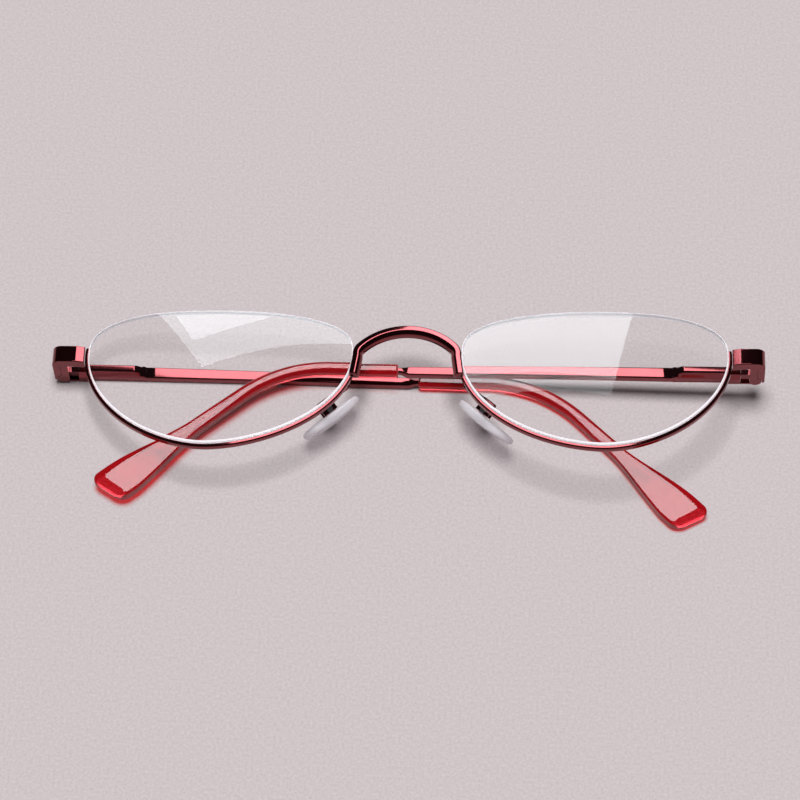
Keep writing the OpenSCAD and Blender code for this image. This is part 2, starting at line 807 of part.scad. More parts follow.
module pad_screw(side) {
    reach = pad_lug_w / 2 + face_gap + pad_box_t;
    head_r = pad_screw_d / 2 + 0.2;
    head_h = 0.35;
    slot_w = 0.2;
    color(steel)
        in_pad(side)
            difference() {
                union() {
                    y_bar(pad_screw_d / 2, -reach, reach);
                    y_bar(head_r, reach, reach + head_h);
                }
                translate([-2 * head_r, reach + head_h / 2, -slot_w / 2])
                    cube([4 * head_r, 1, slot_w]);
            }
}

// Nose pad: a crowned plate with a hollow back and a bored lug that turns on the pad screw
module nose_pad(side) {
    crown_top = pad_stand + pad_t;
    color(clear_pad)
        in_pad(side)
            difference() {
                union() {
                    translate([-(side < 0 ? pad_low_left : pad_low_right), 0, 0])
                        difference() {
                            intersection() {
                                translate([0, 0, pad_stand - pad_t])
                                    linear_extrude(2 * pad_t)
                                        pad_outline();
                                translate([0, 0, crown_top - pad_crown_r])
                                    sphere(r = pad_crown_r, $fn = pad_fn);
                            }
                            translate([0, 0, pad_stand - pad_hollow_r])
                                sphere(r = pad_hollow_r, $fn = pad_fn);
                        }
                    y_bar(pad_lug_r, -pad_lug_w / 2, pad_lug_w / 2);
                    translate([-pad_lug_r, -pad_lug_w / 2, 0])
                        cube([2 * pad_lug_r, pad_lug_w, pad_stand + pad_t / 2]);
                }
                y_bar(pad_screw_d / 2 + pin_gap, -pad_w, pad_w);
            }
}

module pad_outline() {
    r = pad_w / 2;
    square([pad_len - pad_w, pad_w], center = true);
    for (end = [-1, 1])
        translate([end * (pad_len / 2 - r), 0])
            circle(r = r, $fn = round_fn);
}

// Pad arm: a wire from the back of the rim round to the back of the pad box
module pad_arm(side) {
    root_angle = 343;
    rim_back = rim_set_back + rim_d;
    into_rim = 0.06;
    beside = rim_w / 2 + 0.12;
    root = on_lens(root_angle, beside, rim_back - into_rim);
    knee = on_lens(root_angle, beside, rim_back + pad_arm_d);
    side_view = [0.3, -1, 0.3];
    box_back = [-pad_x, pad_y, pad_z] + pad_away() * (pad_box_back + pad_arm_d / 2 - touch);
    along_pad = [cos(pad_slope), sin(pad_slope), 0];
    lead_in = 0.8;
    run = box_back + along_pad * pad_box_len * lead_in;
    steps = 12;
    path = concat(
        [root],
        [for (i = [1 : steps])
            let (t = i / steps, f = 1 - t)
            f * f * f * root + 3 * f * f * t * knee + 3 * f * t * t * run + t * t * t * box_back],
        [box_back - along_pad * pad_box_len / 2]
    );
    color(dark_metal)
        in_front(side)
            skin(rings_along(path, repeat(round_section(pad_arm_d, pad_arm_d, 8, 2), len(path)), side_view));
}
// Direction from the pad screw to the back of its box, in the left front frame
function pad_away() =
    let (c = cos(pad_splay), s = sin(pad_splay))
    [-sin(pad_slope) * c, cos(pad_slope) * c, s];

rim(-1);  // rim_left
rim(1);  // rim_right
lens(-1);  // lens_left
lens(1);  // lens_right
nylon_line(-1);  // nylon_line_left
nylon_line(1);  // nylon_line_right
bridge();
endpiece(-1);  // endpiece_left
endpiece(1);  // endpiece_right
front_hinge(-1);  // front_hinge_left
front_hinge(1);  // front_hinge_right
hinge_screw(-1);  // hinge_screw_left
hinge_screw(1);  // hinge_screw_right
pad_arm(-1);  // pad_arm_left
pad_arm(1);  // pad_arm_right
pad_box(-1);  // pad_box_left
pad_box(1);  // pad_box_right
pad_screw(-1);  // pad_screw_left
pad_screw(1);  // pad_screw_right
nose_pad(-1);  // nose_pad_left
nose_pad(1);  // nose_pad_right
hinge_slider(-1);  // hinge_slider_left
hinge_slider(1);  // hinge_slider_right
hinge_spring(-1);  // hinge_spring_left
hinge_spring(1);  // hinge_spring_right
spring_ring(-1);  // spring_ring_left
spring_ring(1);  // spring_ring_right
spring_box(-1);  // spring_box_left
spring_box(1);  // spring_box_right
temple_arm(-1);  // temple_arm_left
temple_arm(1);  // temple_arm_right
temple_tip(-1);  // temple_tip_left
temple_tip(1);  // temple_tip_right
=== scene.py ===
# %% [markdown]
# # Half-rim reading glasses, folded
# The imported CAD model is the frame: it gives the place of every piece, and its
# bodies carry what is made here. This script dresses it: finer surfaces, real
# finishes, a paper floor, soft light and a camera.

import bmesh
import bpy
import numpy as np
from mathutils import Matrix


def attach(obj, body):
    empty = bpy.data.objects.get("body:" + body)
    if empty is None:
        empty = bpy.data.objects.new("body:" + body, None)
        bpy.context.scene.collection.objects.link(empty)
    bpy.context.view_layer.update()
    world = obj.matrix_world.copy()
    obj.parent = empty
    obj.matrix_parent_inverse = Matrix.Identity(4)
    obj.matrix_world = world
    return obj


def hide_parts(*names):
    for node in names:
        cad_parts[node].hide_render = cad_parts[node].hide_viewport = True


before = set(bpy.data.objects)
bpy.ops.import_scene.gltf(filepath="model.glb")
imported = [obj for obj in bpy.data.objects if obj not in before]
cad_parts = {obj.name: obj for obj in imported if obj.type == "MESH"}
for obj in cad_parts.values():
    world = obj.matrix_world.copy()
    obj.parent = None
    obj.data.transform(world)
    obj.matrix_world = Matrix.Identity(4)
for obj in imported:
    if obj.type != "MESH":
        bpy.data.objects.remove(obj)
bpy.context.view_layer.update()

# %% [markdown]
# ## Where things are
# The glasses are drawn in millimetres in two frames. The front frame has the two
# hinge axes on X and the wearer's view on Z. A temple frame starts at its hinge
# and runs along X to the tip. Two functions carry points from them to the shared
# frame in metres, and mirror what belongs to the right side.

# %% Frames, in millimetres
HINGE_X = 64.3  # from the middle of the front to a hinge
HINGE_RISE = 1.7  # of the left hinge above the table
TILT = np.radians(2.33)  # the front rests on both temples and leans to one side
SLOPE = np.radians(2.0)  # the right temple falls toward its tip
CENTRE = np.array([0.146667, 10.7025, 0.0])
SIDES = {"left": -1, "right": 1}
MM = 0.001


def turned(x, y, angle):
    """Two coordinates turned by an angle: x cos - y sin and x sin + y cos."""
    c, s = np.cos(angle), np.sin(angle)
    return x * c - y * s, x * s + y * c


def place_front(points, side):
    """Mirror for the right side, turn by the tilt about the left hinge, then shift."""
    p = np.array(points, float) * [-side, 1, 1] + [HINGE_X, 0, 0]
    x, z = turned(p[..., 0], p[..., 2], TILT)
    return (np.stack([x, p[..., 1], z], -1) + CENTRE + [-HINGE_X, 0, HINGE_RISE]) * MM


def place_temple(points, side):
    """The left temple is shifted to its hinge. The right one is mirrored, turned by
    its slope and shifted to where the tilt puts the other hinge."""
    p = np.array(points, float)
    if side < 0:
        return (p + CENTRE + [-HINGE_X, 0, HINGE_RISE]) * MM
    x, z = turned(-p[..., 0], p[..., 2], SLOPE)
    reach, lift = turned(2 * HINGE_X, 0, TILT)
    hinge = [reach - HINGE_X, 0, HINGE_RISE + lift]
    return (np.stack([x, p[..., 1], z], -1) + CENTRE + hinge) * MM


print("right hinge at", place_temple([0, 0, 0], 1).round(5), "m")

# %% [markdown]
# ## Helpers for surfaces
# Almost every piece of a pair of glasses is a wire, a bar or a shell: a section
# carried along a path. `carry` works that out as one array of rings, and `skin`
# turns rings into a closed mesh. Corners of a section are rounded with short
# quadratic curves, because real plated edges are never sharp and it is their
# rounding that catches the light.

# %% Sections
def unit(v):
    """Every vector divided by its length."""
    return v / np.linalg.norm(v, axis=-1, keepdims=True)


def smooth_step(k):
    """From 0 to 1 with level ends: 3 k squared minus 2 k cubed."""
    return k * k * (3 - 2 * k)


def rounded(corners, radii, steps=6):
    """A polygon with each corner replaced by a quadratic curve that starts and
    ends at the corner's radius from it."""
    p = np.array(corners, float)
    r = np.broadcast_to(np.array(radii, float), len(p))[:, None, None]
    before, after = unit(np.roll(p, 1, 0) - p), unit(np.roll(p, -1, 0) - p)
    t = np.linspace(0, 1, steps)[None, :, None]
    bend = (1 - t) ** 2 * (r * before[:, None]) + t ** 2 * (r * after[:, None])
    return (p[:, None] + bend).reshape(-1, 2)


def oval(w, h, n, count):
    """Superellipses: width times cosine and height times sine, each to the power 2/n.
    Width, height and n are numbers, or arrays with one value a ring."""
    a = 2 * np.pi * (np.arange(count) + 0.5) / count
    c, s = np.cos(a), np.sin(a)
    w, h, n = (np.asarray(v, float)[..., None] for v in (w, h, n))
    return np.stack([w / 2 * np.sign(c) * abs(c) ** (2 / n),
                     h / 2 * np.sign(s) * abs(s) ** (2 / n)], -1)


print("a square with rounded corners has", len(rounded([[0, 0], [1, 0], [1, 1], [0, 1]], 0.2)),
      "points, a circle may have", len(oval(1, 1, 2, 12)))

# %% Rings along a path
def carry(path, sections, up):
    """Each section stands square to the path: its first axis is up crossed with the
    tangent, its second is the tangent crossed with the first."""
    path = np.array(path, float)
    sections = np.broadcast_to(sections, (len(path),) + np.shape(sections)[-2:])
    tangent = unit(np.gradient(path, axis=0))
    across = unit(np.cross(up, tangent))
    rise = np.cross(tangent, across)
    return (path[:, None] + sections[..., :1] * across[:, None]
            + sections[..., 1:] * rise[:, None])


def soften_ends(rings, radius, steps=4):
    """Adds rings at both ends that close in on a quarter circle of the radius."""
    def cap(ring, ahead):
        middle = ring.mean(0)
        reach = np.linalg.norm(ring - middle, axis=1).min()
        a = np.linspace(0, np.pi / 2, steps + 1)[1:, None, None]
        shrink = 1 - min(radius / reach, 0.9) * (1 - np.cos(a))  # never down to a point
        return middle + (ring - middle) * shrink + ahead * np.sin(a) * radius
    first = unit(rings[0].mean(0) - rings[1].mean(0))
    last = unit(rings[-1].mean(0) - rings[-2].mean(0))
    core = rings.copy()
    core[0] -= first * radius
    core[-1] -= last * radius
    return np.concatenate([cap(core[0], first)[::-1], core, cap(core[-1], last)])


def run_length(points):
    """Sum of the distances between neighbouring points."""
    return np.linalg.norm(np.diff(points, axis=0), axis=1).sum()


def evenly(points, count):
    """Points at equal distances along a polyline, found by interpolating on its length."""
    points = np.array(points, float)
    step = np.linalg.norm(np.diff(points, axis=0), axis=1)
    length = np.concatenate([[0], np.cumsum(step)])
    at = np.linspace(0, length[-1], count)
    return np.stack([np.interp(at, length, points[:, k]) for k in range(points.shape[1])], -1)


# %% Faces between rings
def band(start, rows, m):
    """Four-sided faces between neighbouring rings of m points."""
    i, k = np.meshgrid(np.arange(rows - 1), np.arange(m), indexing="ij")
    a, b = start + i * m + k, start + i * m + (k + 1) % m
    return np.stack([a, b, b + m, a + m], -1).reshape(-1, 4).tolist()


def fan(first, m, tip):
    """Triangles from a ring to one point."""
    k = np.arange(m)
    return np.stack([first + k, first + (k + 1) % m, np.full(m, tip)], -1).tolist()


def block(start, m):
    """Faces of a block: a band between two rings, and a flat face on each."""
    end = start + m
    return band(start, 2, m) + [list(range(start, end)), list(range(end + m - 1, end - 1, -1))]


def skin(rings):
    """Points and faces of rings closed at both ends by a fan to the middle."""
    rows, m = rings.shape[:2]
    points = np.concatenate([rings.reshape(-1, 3), [rings[0].mean(0)], [rings[-1].mean(0)]])
    faces = band(0, rows, m) + fan(0, m, rows * m) + fan((rows - 1) * m, m, rows * m + 1)
    return points, faces


def bored_skin(outer, inner):
    """A skin with a blind bore: the first rings of both are joined round the mouth."""
    rows, m = outer.shape[:2]
    deep, base = len(inner), rows * m
    points = np.concatenate([outer.reshape(-1, 3), inner.reshape(-1, 3),
                             [outer[-1].mean(0)], [inner[-1].mean(0)]])
    end = base + deep * m
    k = np.arange(m)
    mouth = np.stack([k, (k + 1) % m, base + (k + 1) % m, base + k], -1).tolist()
    faces = (band(0, rows, m) + band(base, deep, m) + mouth
             + fan(base - m, m, end) + fan(base + (deep - 1) * m, m, end + 1))
    return points, faces


# %% One object
SAME_POINT = 2e-7  # metres: nearer points are joined


def make(name, points, faces, finish, body, slot, nodes=(), smooth=38):
    """One object at the origin, its faces turned outwards and smooth up to an angle."""
    mesh = bpy.data.meshes.new(name)
    mesh.from_pydata(np.asarray(points).reshape(-1, 3).tolist(), [], faces)
    work = bmesh.new()
    work.from_mesh(mesh)
    bmesh.ops.remove_doubles(work, verts=work.verts, dist=SAME_POINT)
    bmesh.ops.recalc_face_normals(work, faces=work.faces)
    work.to_mesh(mesh)
    work.free()
    mesh.shade_smooth()
    mesh.set_sharp_from_angle(angle=np.radians(smooth))
    piece = bpy.data.objects.new(name, mesh)
    bpy.context.scene.collection.objects.link(piece)
    mesh.materials.append(finish)
    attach(piece, body)
    if nodes:
        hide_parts(*nodes)
    return piece


# %% [markdown]
# ## Finishes
# The metal is nickel silver or steel wire, polished, plated and then covered with
# a clear red lacquer. Light goes through the lacquer twice, so the metal mirrors
# its surroundings in red: pink under a lamp and nearly black under a dark ceiling.
# The tips are clear red cellulose acetate, the pads soft clear plastic, the lenses
# hard clear plastic with a polished face and a ground edge.

# %% Colour and node helpers
def linear(hex_colour):
    """sRGB hex to linear: divide by 12.92 below 0.04045, else the 2.4 power."""
    v = np.array([int(hex_colour[i:i + 2], 16) for i in (1, 3, 5)]) / 255
    v = np.where(v <= 0.04045, v / 12.92, ((v + 0.055) / 1.055) ** 2.4)
    return (*v, 1.0)


def add(tree, kind, settings=(), inputs=()):
    """Adds a node, sets its properties, and fills or links its inputs."""
    node = tree.nodes.new(kind)
    for key, value in dict(settings).items():
        setattr(node, key, value)
    for key, value in dict(inputs).items():
        socket = node.inputs[key]
        if isinstance(value, bpy.types.NodeSocket):
            tree.links.new(value, socket)
        else:
            socket.default_value = value
    return node


def noise(tree, scale, detail=2.0, roughness=0.5, stretch=(1.0, 1.0, 1.0)):
    """Cloudy noise on the piece's own coordinates: the higher the scale, the finer."""
    place = add(tree, "ShaderNodeTexCoord").outputs["Object"]
    if max(stretch) > 1:
        place = add(tree, "ShaderNodeMapping",
                    inputs={"Vector": place, "Scale": stretch}).outputs["Vector"]
    return add(tree, "ShaderNodeTexNoise", inputs={
        "Vector": place, "Scale": scale, "Detail": detail, "Roughness": roughness}).outputs["Fac"]


def between(tree, factor, low, high):
    """A number between two, by a factor from 0 to 1."""
    return add(tree, "ShaderNodeMapRange", inputs={
        "Value": factor, "To Min": low, "To Max": high}).outputs["Result"]


def blend(tree, factor, low, high):
    """A colour between two, by a factor from 0 to 1."""
    return add(tree, "ShaderNodeMix", {"data_type": "RGBA"}, {
        "Factor": factor, "A": linear(low), "B": linear(high)}).outputs["Result"]


def bump(tree, height, strength, distance):
    """Normals of a surface that is higher where the height is."""
    return add(tree, "ShaderNodeBump", inputs={
        "Height": height, "Strength": strength, "Distance": distance}).outputs["Normal"]


# %% Materials and panes
def finish(name):
    """An empty material, its tree and its output."""
    material = bpy.data.materials.new(name)
    material.use_nodes = True
    material.node_tree.nodes.clear()
    print("finish", name)
    return material, material.node_tree, add(material.node_tree, "ShaderNodeOutputMaterial")


def lets_lamps_through(tree, out, shader, tint, mirrored="#FFFFFF"):
    """Rays toward lamps, and rays that paper or metal behind the piece sends back, pass
    as through a tinted pane: a clear piece then casts the pale coloured shadow that it
    casts on real paper, and the strips behind a lens still catch the light."""
    path = add(tree, "ShaderNodeLightPath")
    shade = add(tree, "ShaderNodeBsdfTransparent", inputs={"Color": linear(tint)})
    clear = add(tree, "ShaderNodeBsdfTransparent", inputs={"Color": linear(mirrored)})
    seen = add(tree, "ShaderNodeMixShader", inputs={
        0: path.outputs["Is Reflection Ray"], 1: shader.outputs[0], 2: clear.outputs[0]})
    mix = add(tree, "ShaderNodeMixShader", inputs={
        0: path.outputs["Is Shadow Ray"], 1: seen.outputs[0], 2: shade.outputs[0]})
    tree.links.new(mix.outputs[0], out.inputs["Surface"])


# %% [markdown]
# Red lacquer over polished metal. The thickness of a lacquer changes slowly over
# a few millimetres, which shifts its depth of colour, and its surface has the faint
# ripple called orange peel, with waves about half a millimetre long.

# %% Plated metal
def lacquered_metal(name, thin, thick, rough):
    """Metal whose colour wanders between where the lacquer is thin and thick."""
    material, tree, out = finish(name)
    cloud = noise(tree, 260.0)
    peel = noise(tree, 1900.0, detail=1.0)
    shader = add(tree, "ShaderNodeBsdfPrincipled", inputs={
        "Base Color": blend(tree, cloud, thin, thick), "Metallic": 1.0,
        "Roughness": between(tree, cloud, rough - 0.03, rough + 0.03),
        "Normal": bump(tree, peel, 0.06, 0.00002),
        "Coat Weight": 0.35, "Coat Roughness": 0.04})
    tree.links.new(shader.outputs[0], out.inputs["Surface"])
    return material


red_metal = lacquered_metal("red_lacquered_metal", "#8A3A3E", "#753034", 0.08)
dark_metal = lacquered_metal("red_lacquered_castings", "#86383C", "#6E2C30", 0.07)

# %% [markdown]
# Pad screws, springs and spring rings are bare stainless steel, turned or drawn, so
# they carry fine lines round or along them. The lines are closer than a picture
# shows and are drawn at 0.1 mm.

# %% Steel
steel, tree, out = finish("turned_stainless_steel")
lines = noise(tree, 900.0, stretch=(1.0, 12.0, 1.0))
shader = add(tree, "ShaderNodeBsdfPrincipled", inputs={
    "Base Color": blend(tree, lines, "#8E8C8D", "#C9C6C5"), "Metallic": 1.0,
    "Roughness": 0.28, "Normal": bump(tree, lines, 0.15, 0.00002)})
tree.links.new(shader.outputs[0], out.inputs["Surface"])

# %% [markdown]
# The lens is hard clear plastic. Its faces are polished and carry a thin hard coat
# that mirrors less than bare plastic, so the face has a lower index than the body
# of such a lens. Its edge is ground and only wiped with polish, so it scatters light
# and shows as the white line that half-rim glasses have along the rim. The light
# that runs inside the lens and leaves at the edge is painted on as a faint glow:
# the ground edge gives off a little light of its own.

# %% Lens faces
lens_face, tree, out = finish("polished_clear_lens")
shader = add(tree, "ShaderNodeBsdfPrincipled", inputs={
    "Base Color": linear("#FFFFFF"), "Roughness": 0.0, "IOR": 1.25,
    "Transmission Weight": 1.0})
lets_lamps_through(tree, out, shader, "#FFFFFF")

# %% Ground edge
lens_edge, tree, out = finish("ground_lens_edge_and_painted_glow")
tooth = bump(tree, noise(tree, 5000.0), 0.3, 0.00002)
# The emission is a painted glow: the ground edge gives off light of its own.
shader = add(tree, "ShaderNodeBsdfPrincipled", inputs={
    "Base Color": linear("#FBFAFF"), "Roughness": 0.4, "IOR": 1.5,
    "Transmission Weight": 0.1, "Normal": tooth,
    "Emission Color": linear("#FFFAFF"), "Emission Strength": 0.32})
lets_lamps_through(tree, out, shader, "#707074")

# %% [markdown]
# The line is drawn nylon, smooth and a little milky.

# %% Nylon
nylon, tree, out = finish("drawn_nylon_line")
shader = add(tree, "ShaderNodeBsdfPrincipled", inputs={
    "Base Color": linear("#FBFBFF"), "Roughness": 0.12, "IOR": 1.53,
    "Transmission Weight": 0.25})
lets_lamps_through(tree, out, shader, "#ECECF0")

# %% [markdown]
# Nose pads are moulded from soft clear plastic. Skin oil and handling leave the
# surface a little hazy, which is why a pad looks milky beside a lens.

# %% Pad plastic
pad_clear, tree, out = finish("moulded_clear_pad")
haze = noise(tree, 420.0, detail=3.0)
shader = add(tree, "ShaderNodeBsdfPrincipled", inputs={
    "Base Color": linear("#F8F4FA"), "Roughness": between(tree, haze, 0.05, 0.12),
    "IOR": 1.42, "Transmission Weight": 0.45})
lets_lamps_through(tree, out, shader, "#DEDCDE")

# %% [markdown]
# The temple tips are clear red acetate, tumbled and polished. The plastic colours
# what is seen through it and the light that falls through it on the paper.

# %% Tip plastic
tip_red, tree, out = finish("polished_red_acetate")
flow = noise(tree, 300.0)
shader = add(tree, "ShaderNodeBsdfPrincipled", inputs={
    "Base Color": blend(tree, flow, "#C01620", "#B0101A"), "Roughness": 0.03,
    "IOR": 1.54, "Transmission Weight": 0.5})
lets_lamps_through(tree, out, shader, "#F04048", "#FFC4C4")

# %% [markdown]
# ## Lens outline
# The half-moon is four quarters of superellipses that meet with level or upright
# tangents: a low flat pair above the widest line and a deep pair below it. The same
# outline places the lens, the rim and the nylon line, as on the real frame, where
# the rim wire is bent round the lens.

# %% Outline of a lens, in the left front frame
HALF, ABOVE, BELOW = 24.6, 8.45, 20.3  # half width, height of the two pairs
PEAK_ABOVE, PEAK_BELOW = -5.0, -1.6  # where the pairs meet
N_TOP_TEMPLE, N_TOP_NOSE, N_LOW_TEMPLE, N_LOW_NOSE = 2.9, 3.7, 1.84, 1.86
LENS_X, LENS_DROP, LENS_RISE, LENS_THICK = 34.65, 7.0, 9.5, 2.3
FRONT_R, BACK_R = 90.0, 110.0


def outline(degrees):
    """Quarter superellipses round a peak: x is a times cosine to the power 2/n, y is
    b times sine to the power 2/n. Angle 0 is the nose side."""
    w = np.mod(degrees, 360)
    above, nose = w < 180, (w < 90) | (w > 270)
    peak = np.where(above, PEAK_ABOVE, PEAK_BELOW)
    a = np.where(nose, HALF - peak, HALF + peak)
    b = np.where(above, ABOVE, BELOW)
    n = np.where(above, np.where(nose, N_TOP_NOSE, N_TOP_TEMPLE),
                 np.where(nose, N_LOW_NOSE, N_LOW_TEMPLE))
    c, s = abs(np.cos(np.radians(w))), abs(np.sin(np.radians(w)))
    return np.stack([peak + np.where(nose, 1, -1) * a * c ** (2 / n),
                     np.where(above, 1, -1) * b * s ** (2 / n)], -1)


def angle_at(height, n):
    """The angle at which the upper outline stands at a height."""
    return np.degrees(np.arcsin((height / ABOVE) ** (n / 2)))


def edge_run(first, last, count):
    """Evenly spaced points of the outline between two angles, and the outward normals."""
    p = evenly(outline(np.linspace(first, last, 6000)), count)
    d = unit(np.gradient(p, axis=0))
    if abs(last - first - 360) < 1e-6:
        d[0] = d[-1] = unit(p[1] - p[-2])
    return p, np.stack([d[:, 1], -d[:, 0]], -1)


print("way round a lens", run_length(edge_run(0, 360, 721)[0]).round(1), "mm")


# %% The two faces
def sphere_z(p, radius, top):
    """Height of a sphere whose highest point stands over the middle of the lens."""
    return top - radius + np.sqrt(radius ** 2 - p[..., 0] ** 2 - (p[..., 1] + LENS_DROP) ** 2)


def front_z(p):
    """Height of the front face."""
    return sphere_z(p, FRONT_R, LENS_RISE)


def back_z(p):
    """Height of the back face."""
    return sphere_z(p, BACK_R, LENS_RISE - LENS_THICK)


def to_front(p, z):
    """Outline points and a height become points of the left front frame."""
    return np.concatenate([p - [LENS_X, 0], z[..., None]], -1)


print(f"lens {LENS_THICK} mm thick at the middle, faces of {FRONT_R} and {BACK_R} mm radius")

# %% [markdown]
# ## Lenses
# One closed surface: rings grow from the middle of the front face to the edge, go
# over a small ground bevel, down the edge wall with its groove or ridge, over the
# back bevel, and shrink to the middle of the back face. Above the rim the wall has
# an open groove for the nylon line. In the rim it has a ridge that fills the channel.

# %% Places on the edge wall
RIM_TOP_TEMPLE, RIM_TOP_NOSE = 1.85, 1.5  # height of the rim's two ends
RIM_SET_BACK, RIM_D, RIM_W = 0.7, 1.2, 0.7  # behind the front face, deep, wide
SLOT_SHIFT, SLOT_W = 0.15, 0.5  # the channel's slot stands a little toward the front
GROOVE_MID = RIM_SET_BACK + RIM_D / 2 - SLOT_SHIFT
GROOVE_DEPTH, RIDGE_HEIGHT, FADE, SEAT_TOP = 0.36, 0.26, 0.6, 0.9
BEVEL = 0.22
edge, out_way = (v[:-1] for v in edge_run(0, 360, 721))
bare = np.clip((edge[:, 1] - RIM_TOP_NOSE) / FADE, 0, 1)
seated = np.clip((SEAT_TOP - edge[:, 1]) / FADE, 0, 1)
groove = -GROOVE_DEPTH * bare + RIDGE_HEIGHT * seated
rim_z = front_z(edge)
print("edge", (rim_z - back_z(edge)).min().round(2), "mm thick at its thinnest")

# %% Lens rings
HEART = np.array([-1.5, -5.0])  # the point that the faces shrink to
# Down the wall: the share of the groove or ridge, and the depth below the front face
WALL = ((0, BEVEL), (0, GROOVE_MID - 0.27), (0.5, GROOVE_MID - 0.16), (1, GROOVE_MID - 0.08),
        (1, GROOVE_MID + 0.08), (0.5, GROOVE_MID + 0.16), (0, GROOVE_MID + 0.27))


def face_ring(share, face):
    """The outline inside the bevel, shrunk toward the middle to a share."""
    p = HEART + (edge - BEVEL * out_way - HEART) * share
    return to_front(p, face(p))


rings = [face_ring(k, front_z) for k in np.linspace(0, 1, 25)]
for share, down in WALL:
    rings.append(to_front(edge + (share * groove)[:, None] * out_way, rim_z - down))
rings.append(to_front(edge, back_z(edge) + BEVEL))
rings += [face_ring(k, back_z) for k in np.linspace(1, 0, 21)]
rings = np.array(rings)
print("lens points", rings.shape[0] * rings.shape[1])

# %% Lens objects
EDGE_LEAN = 0.9  # cosine: faces that lean more than this are the ground edge
lenses = {}
for name, side in SIDES.items():
    faces = band(0, len(rings), len(edge))
    lens = make(f"clear_lens_{name}", place_front(rings, side), faces, lens_face,
                "front", "lens_plastic", [f"lens_{name}"], 30)
    lens.data.materials.append(lens_edge)
    normals = np.empty(len(lens.data.polygons) * 3)
    lens.data.polygons.foreach_get("normal", normals)
    ground = abs(normals.reshape(-1, 3)[:, 2]) < EDGE_LEAN
    lens.data.polygons.foreach_set("material_index", ground.astype(np.int32))
    lenses[name] = lens
    print(lens.name, ground.sum(), "ground faces")

# %% [markdown]
# ## Rims and nylon lines
# The rim is a drawn channel wire: two lips hold the lens, the outer face is
# rounded. A nylon line pulls the lens into the rim and lies in the open groove.

# %% Rims
INSIDE, SLOT_FLOOR = 0.04, 0.32  # outwards from the lens edge
lip = RIM_D / 2 - SLOT_SHIFT - SLOT_W / 2
channel = rounded([[INSIDE, 0], [INSIDE, -lip], [SLOT_FLOOR, -lip], [SLOT_FLOOR, -lip - SLOT_W],
                   [INSIDE, -lip - SLOT_W], [INSIDE, -RIM_D], [RIM_W, -RIM_D], [RIM_W, 0]],
                  [0.1, 0.05, 0.04, 0.04, 0.05, 0.08, 0.28, 0.3], 5)
p, n = edge_run(180 - angle_at(RIM_TOP_TEMPLE, N_TOP_TEMPLE),
                360 + angle_at(RIM_TOP_NOSE, N_TOP_NOSE), 420)
path = to_front(p, front_z(p) - RIM_SET_BACK)
outward = channel[None, :, :1] * n[:, None, :]
down = np.broadcast_to(channel[None, :, 1:], (len(p), len(channel), 1))
rim = path[:, None] + np.concatenate([outward, down], -1)
for name, side in SIDES.items():
    make(f"rim_wire_{name}", *skin(place_front(rim, side)), red_metal,
         "front", "red_plated_metal", [f"rim_{name}"])
print(f"rim wire {run_length(path):.1f} mm long, channel {RIM_D} mm deep")

# %% [markdown]
# The nylon line is half a millimetre thick and drawn, so it is smooth and a little
# milky. Here it is a round wire that sinks into the groove by a quarter of its
# thickness, because that leaves the pale double line on the lens's top edge.

# %% Nylon lines
LINE_D, LINE_SINK, LINE_GAP = 0.47, 0.13, 0.1
p, n = edge_run(angle_at(RIM_TOP_NOSE + LINE_GAP, N_TOP_NOSE),
                180 - angle_at(RIM_TOP_TEMPLE + LINE_GAP, N_TOP_TEMPLE), 260)
p = p - LINE_SINK * n
path = to_front(p, front_z(p) - GROOVE_MID)
line = carry(path, oval(LINE_D, LINE_D, 2, 12), [0, 0, 1])
for name, side in SIDES.items():
    make(f"nylon_{name}", *skin(place_front(line, side)), nylon,
         "front", "nylon", [f"nylon_line_{name}"])
print(f"nylon line {LINE_D} mm thick, {run_length(path):.1f} mm long")

# %% [markdown]
# ## Bridge
# One bar, bent cold round a former: an arch over the nose, a tight shoulder each
# side and a straight foot that is soldered along the rim. Its upper face is pressed
# to a wide outer facet and a steep inner one, and their edge draws the pink line
# along the arch. The section is a polygon with rounded corners, carried along two
# arcs and a line.

# %% Line of the bridge
ARCH_R, ARCH_TOP, SHOULDER_R, FOOT = 11.7996, 4.9, 2.2, 4.2
SHOULDER, LEAN = np.radians(46), np.radians(8)
FACE_RISE = 6.2  # of the end pieces' faces above the hinge axes


def half_bridge(steps):
    """An arc of the arch, an arc of the shoulder and a straight foot, in that order."""
    a = np.linspace(0, SHOULDER, steps)
    arch = np.stack([-ARCH_R * np.sin(a), ARCH_TOP - ARCH_R * (1 - np.cos(a))], -1)
    middle = np.array([-(ARCH_R - SHOULDER_R) * np.sin(SHOULDER),
                       ARCH_TOP - ARCH_R + (ARCH_R - SHOULDER_R) * np.cos(SHOULDER)])
    b = np.linspace(SHOULDER, np.pi / 2 + LEAN, steps // 2)[1:]
    bend = middle + SHOULDER_R * np.stack([-np.sin(b), np.cos(b)], -1)
    run = np.linspace(0, FOOT, steps // 2)[1:, None]
    return np.concatenate([arch, bend, bend[-1] - run * [np.sin(LEAN), np.cos(LEAN)]])


print("half a bridge spans", abs(half_bridge(40)[:, 0]).max().round(2), "mm")

# %% Bridge
BRIDGE_W, BRIDGE_D, BRIDGE_RISE = 1.85, 2.0, 1.18
half = half_bridge(40)
path = np.concatenate([half[::-1], half[1:] * [-1, 1]])
path = np.insert(path, 2, FACE_RISE + BRIDGE_RISE - BRIDGE_D / 2, axis=1)
facets = np.array([[-1, -1], [1, -1], [1, 0.88], [-0.25, 1], [-1, 0.3]])
bar = rounded(facets * [BRIDGE_W / 2, BRIDGE_D / 2], [0.5, 0.5, 0.28, 0.3, 0.4], 7)
arch = soften_ends(carry(path, bar, [0, 0, 1]), 0.35)
bridge = make("bridge_bar", *skin(place_front(arch, -1)), dark_metal,
              "front", "dark_plated_metal", ["bridge"])
print(f"bridge bar {run_length(path):.1f} mm long, section of {len(bar)} points")

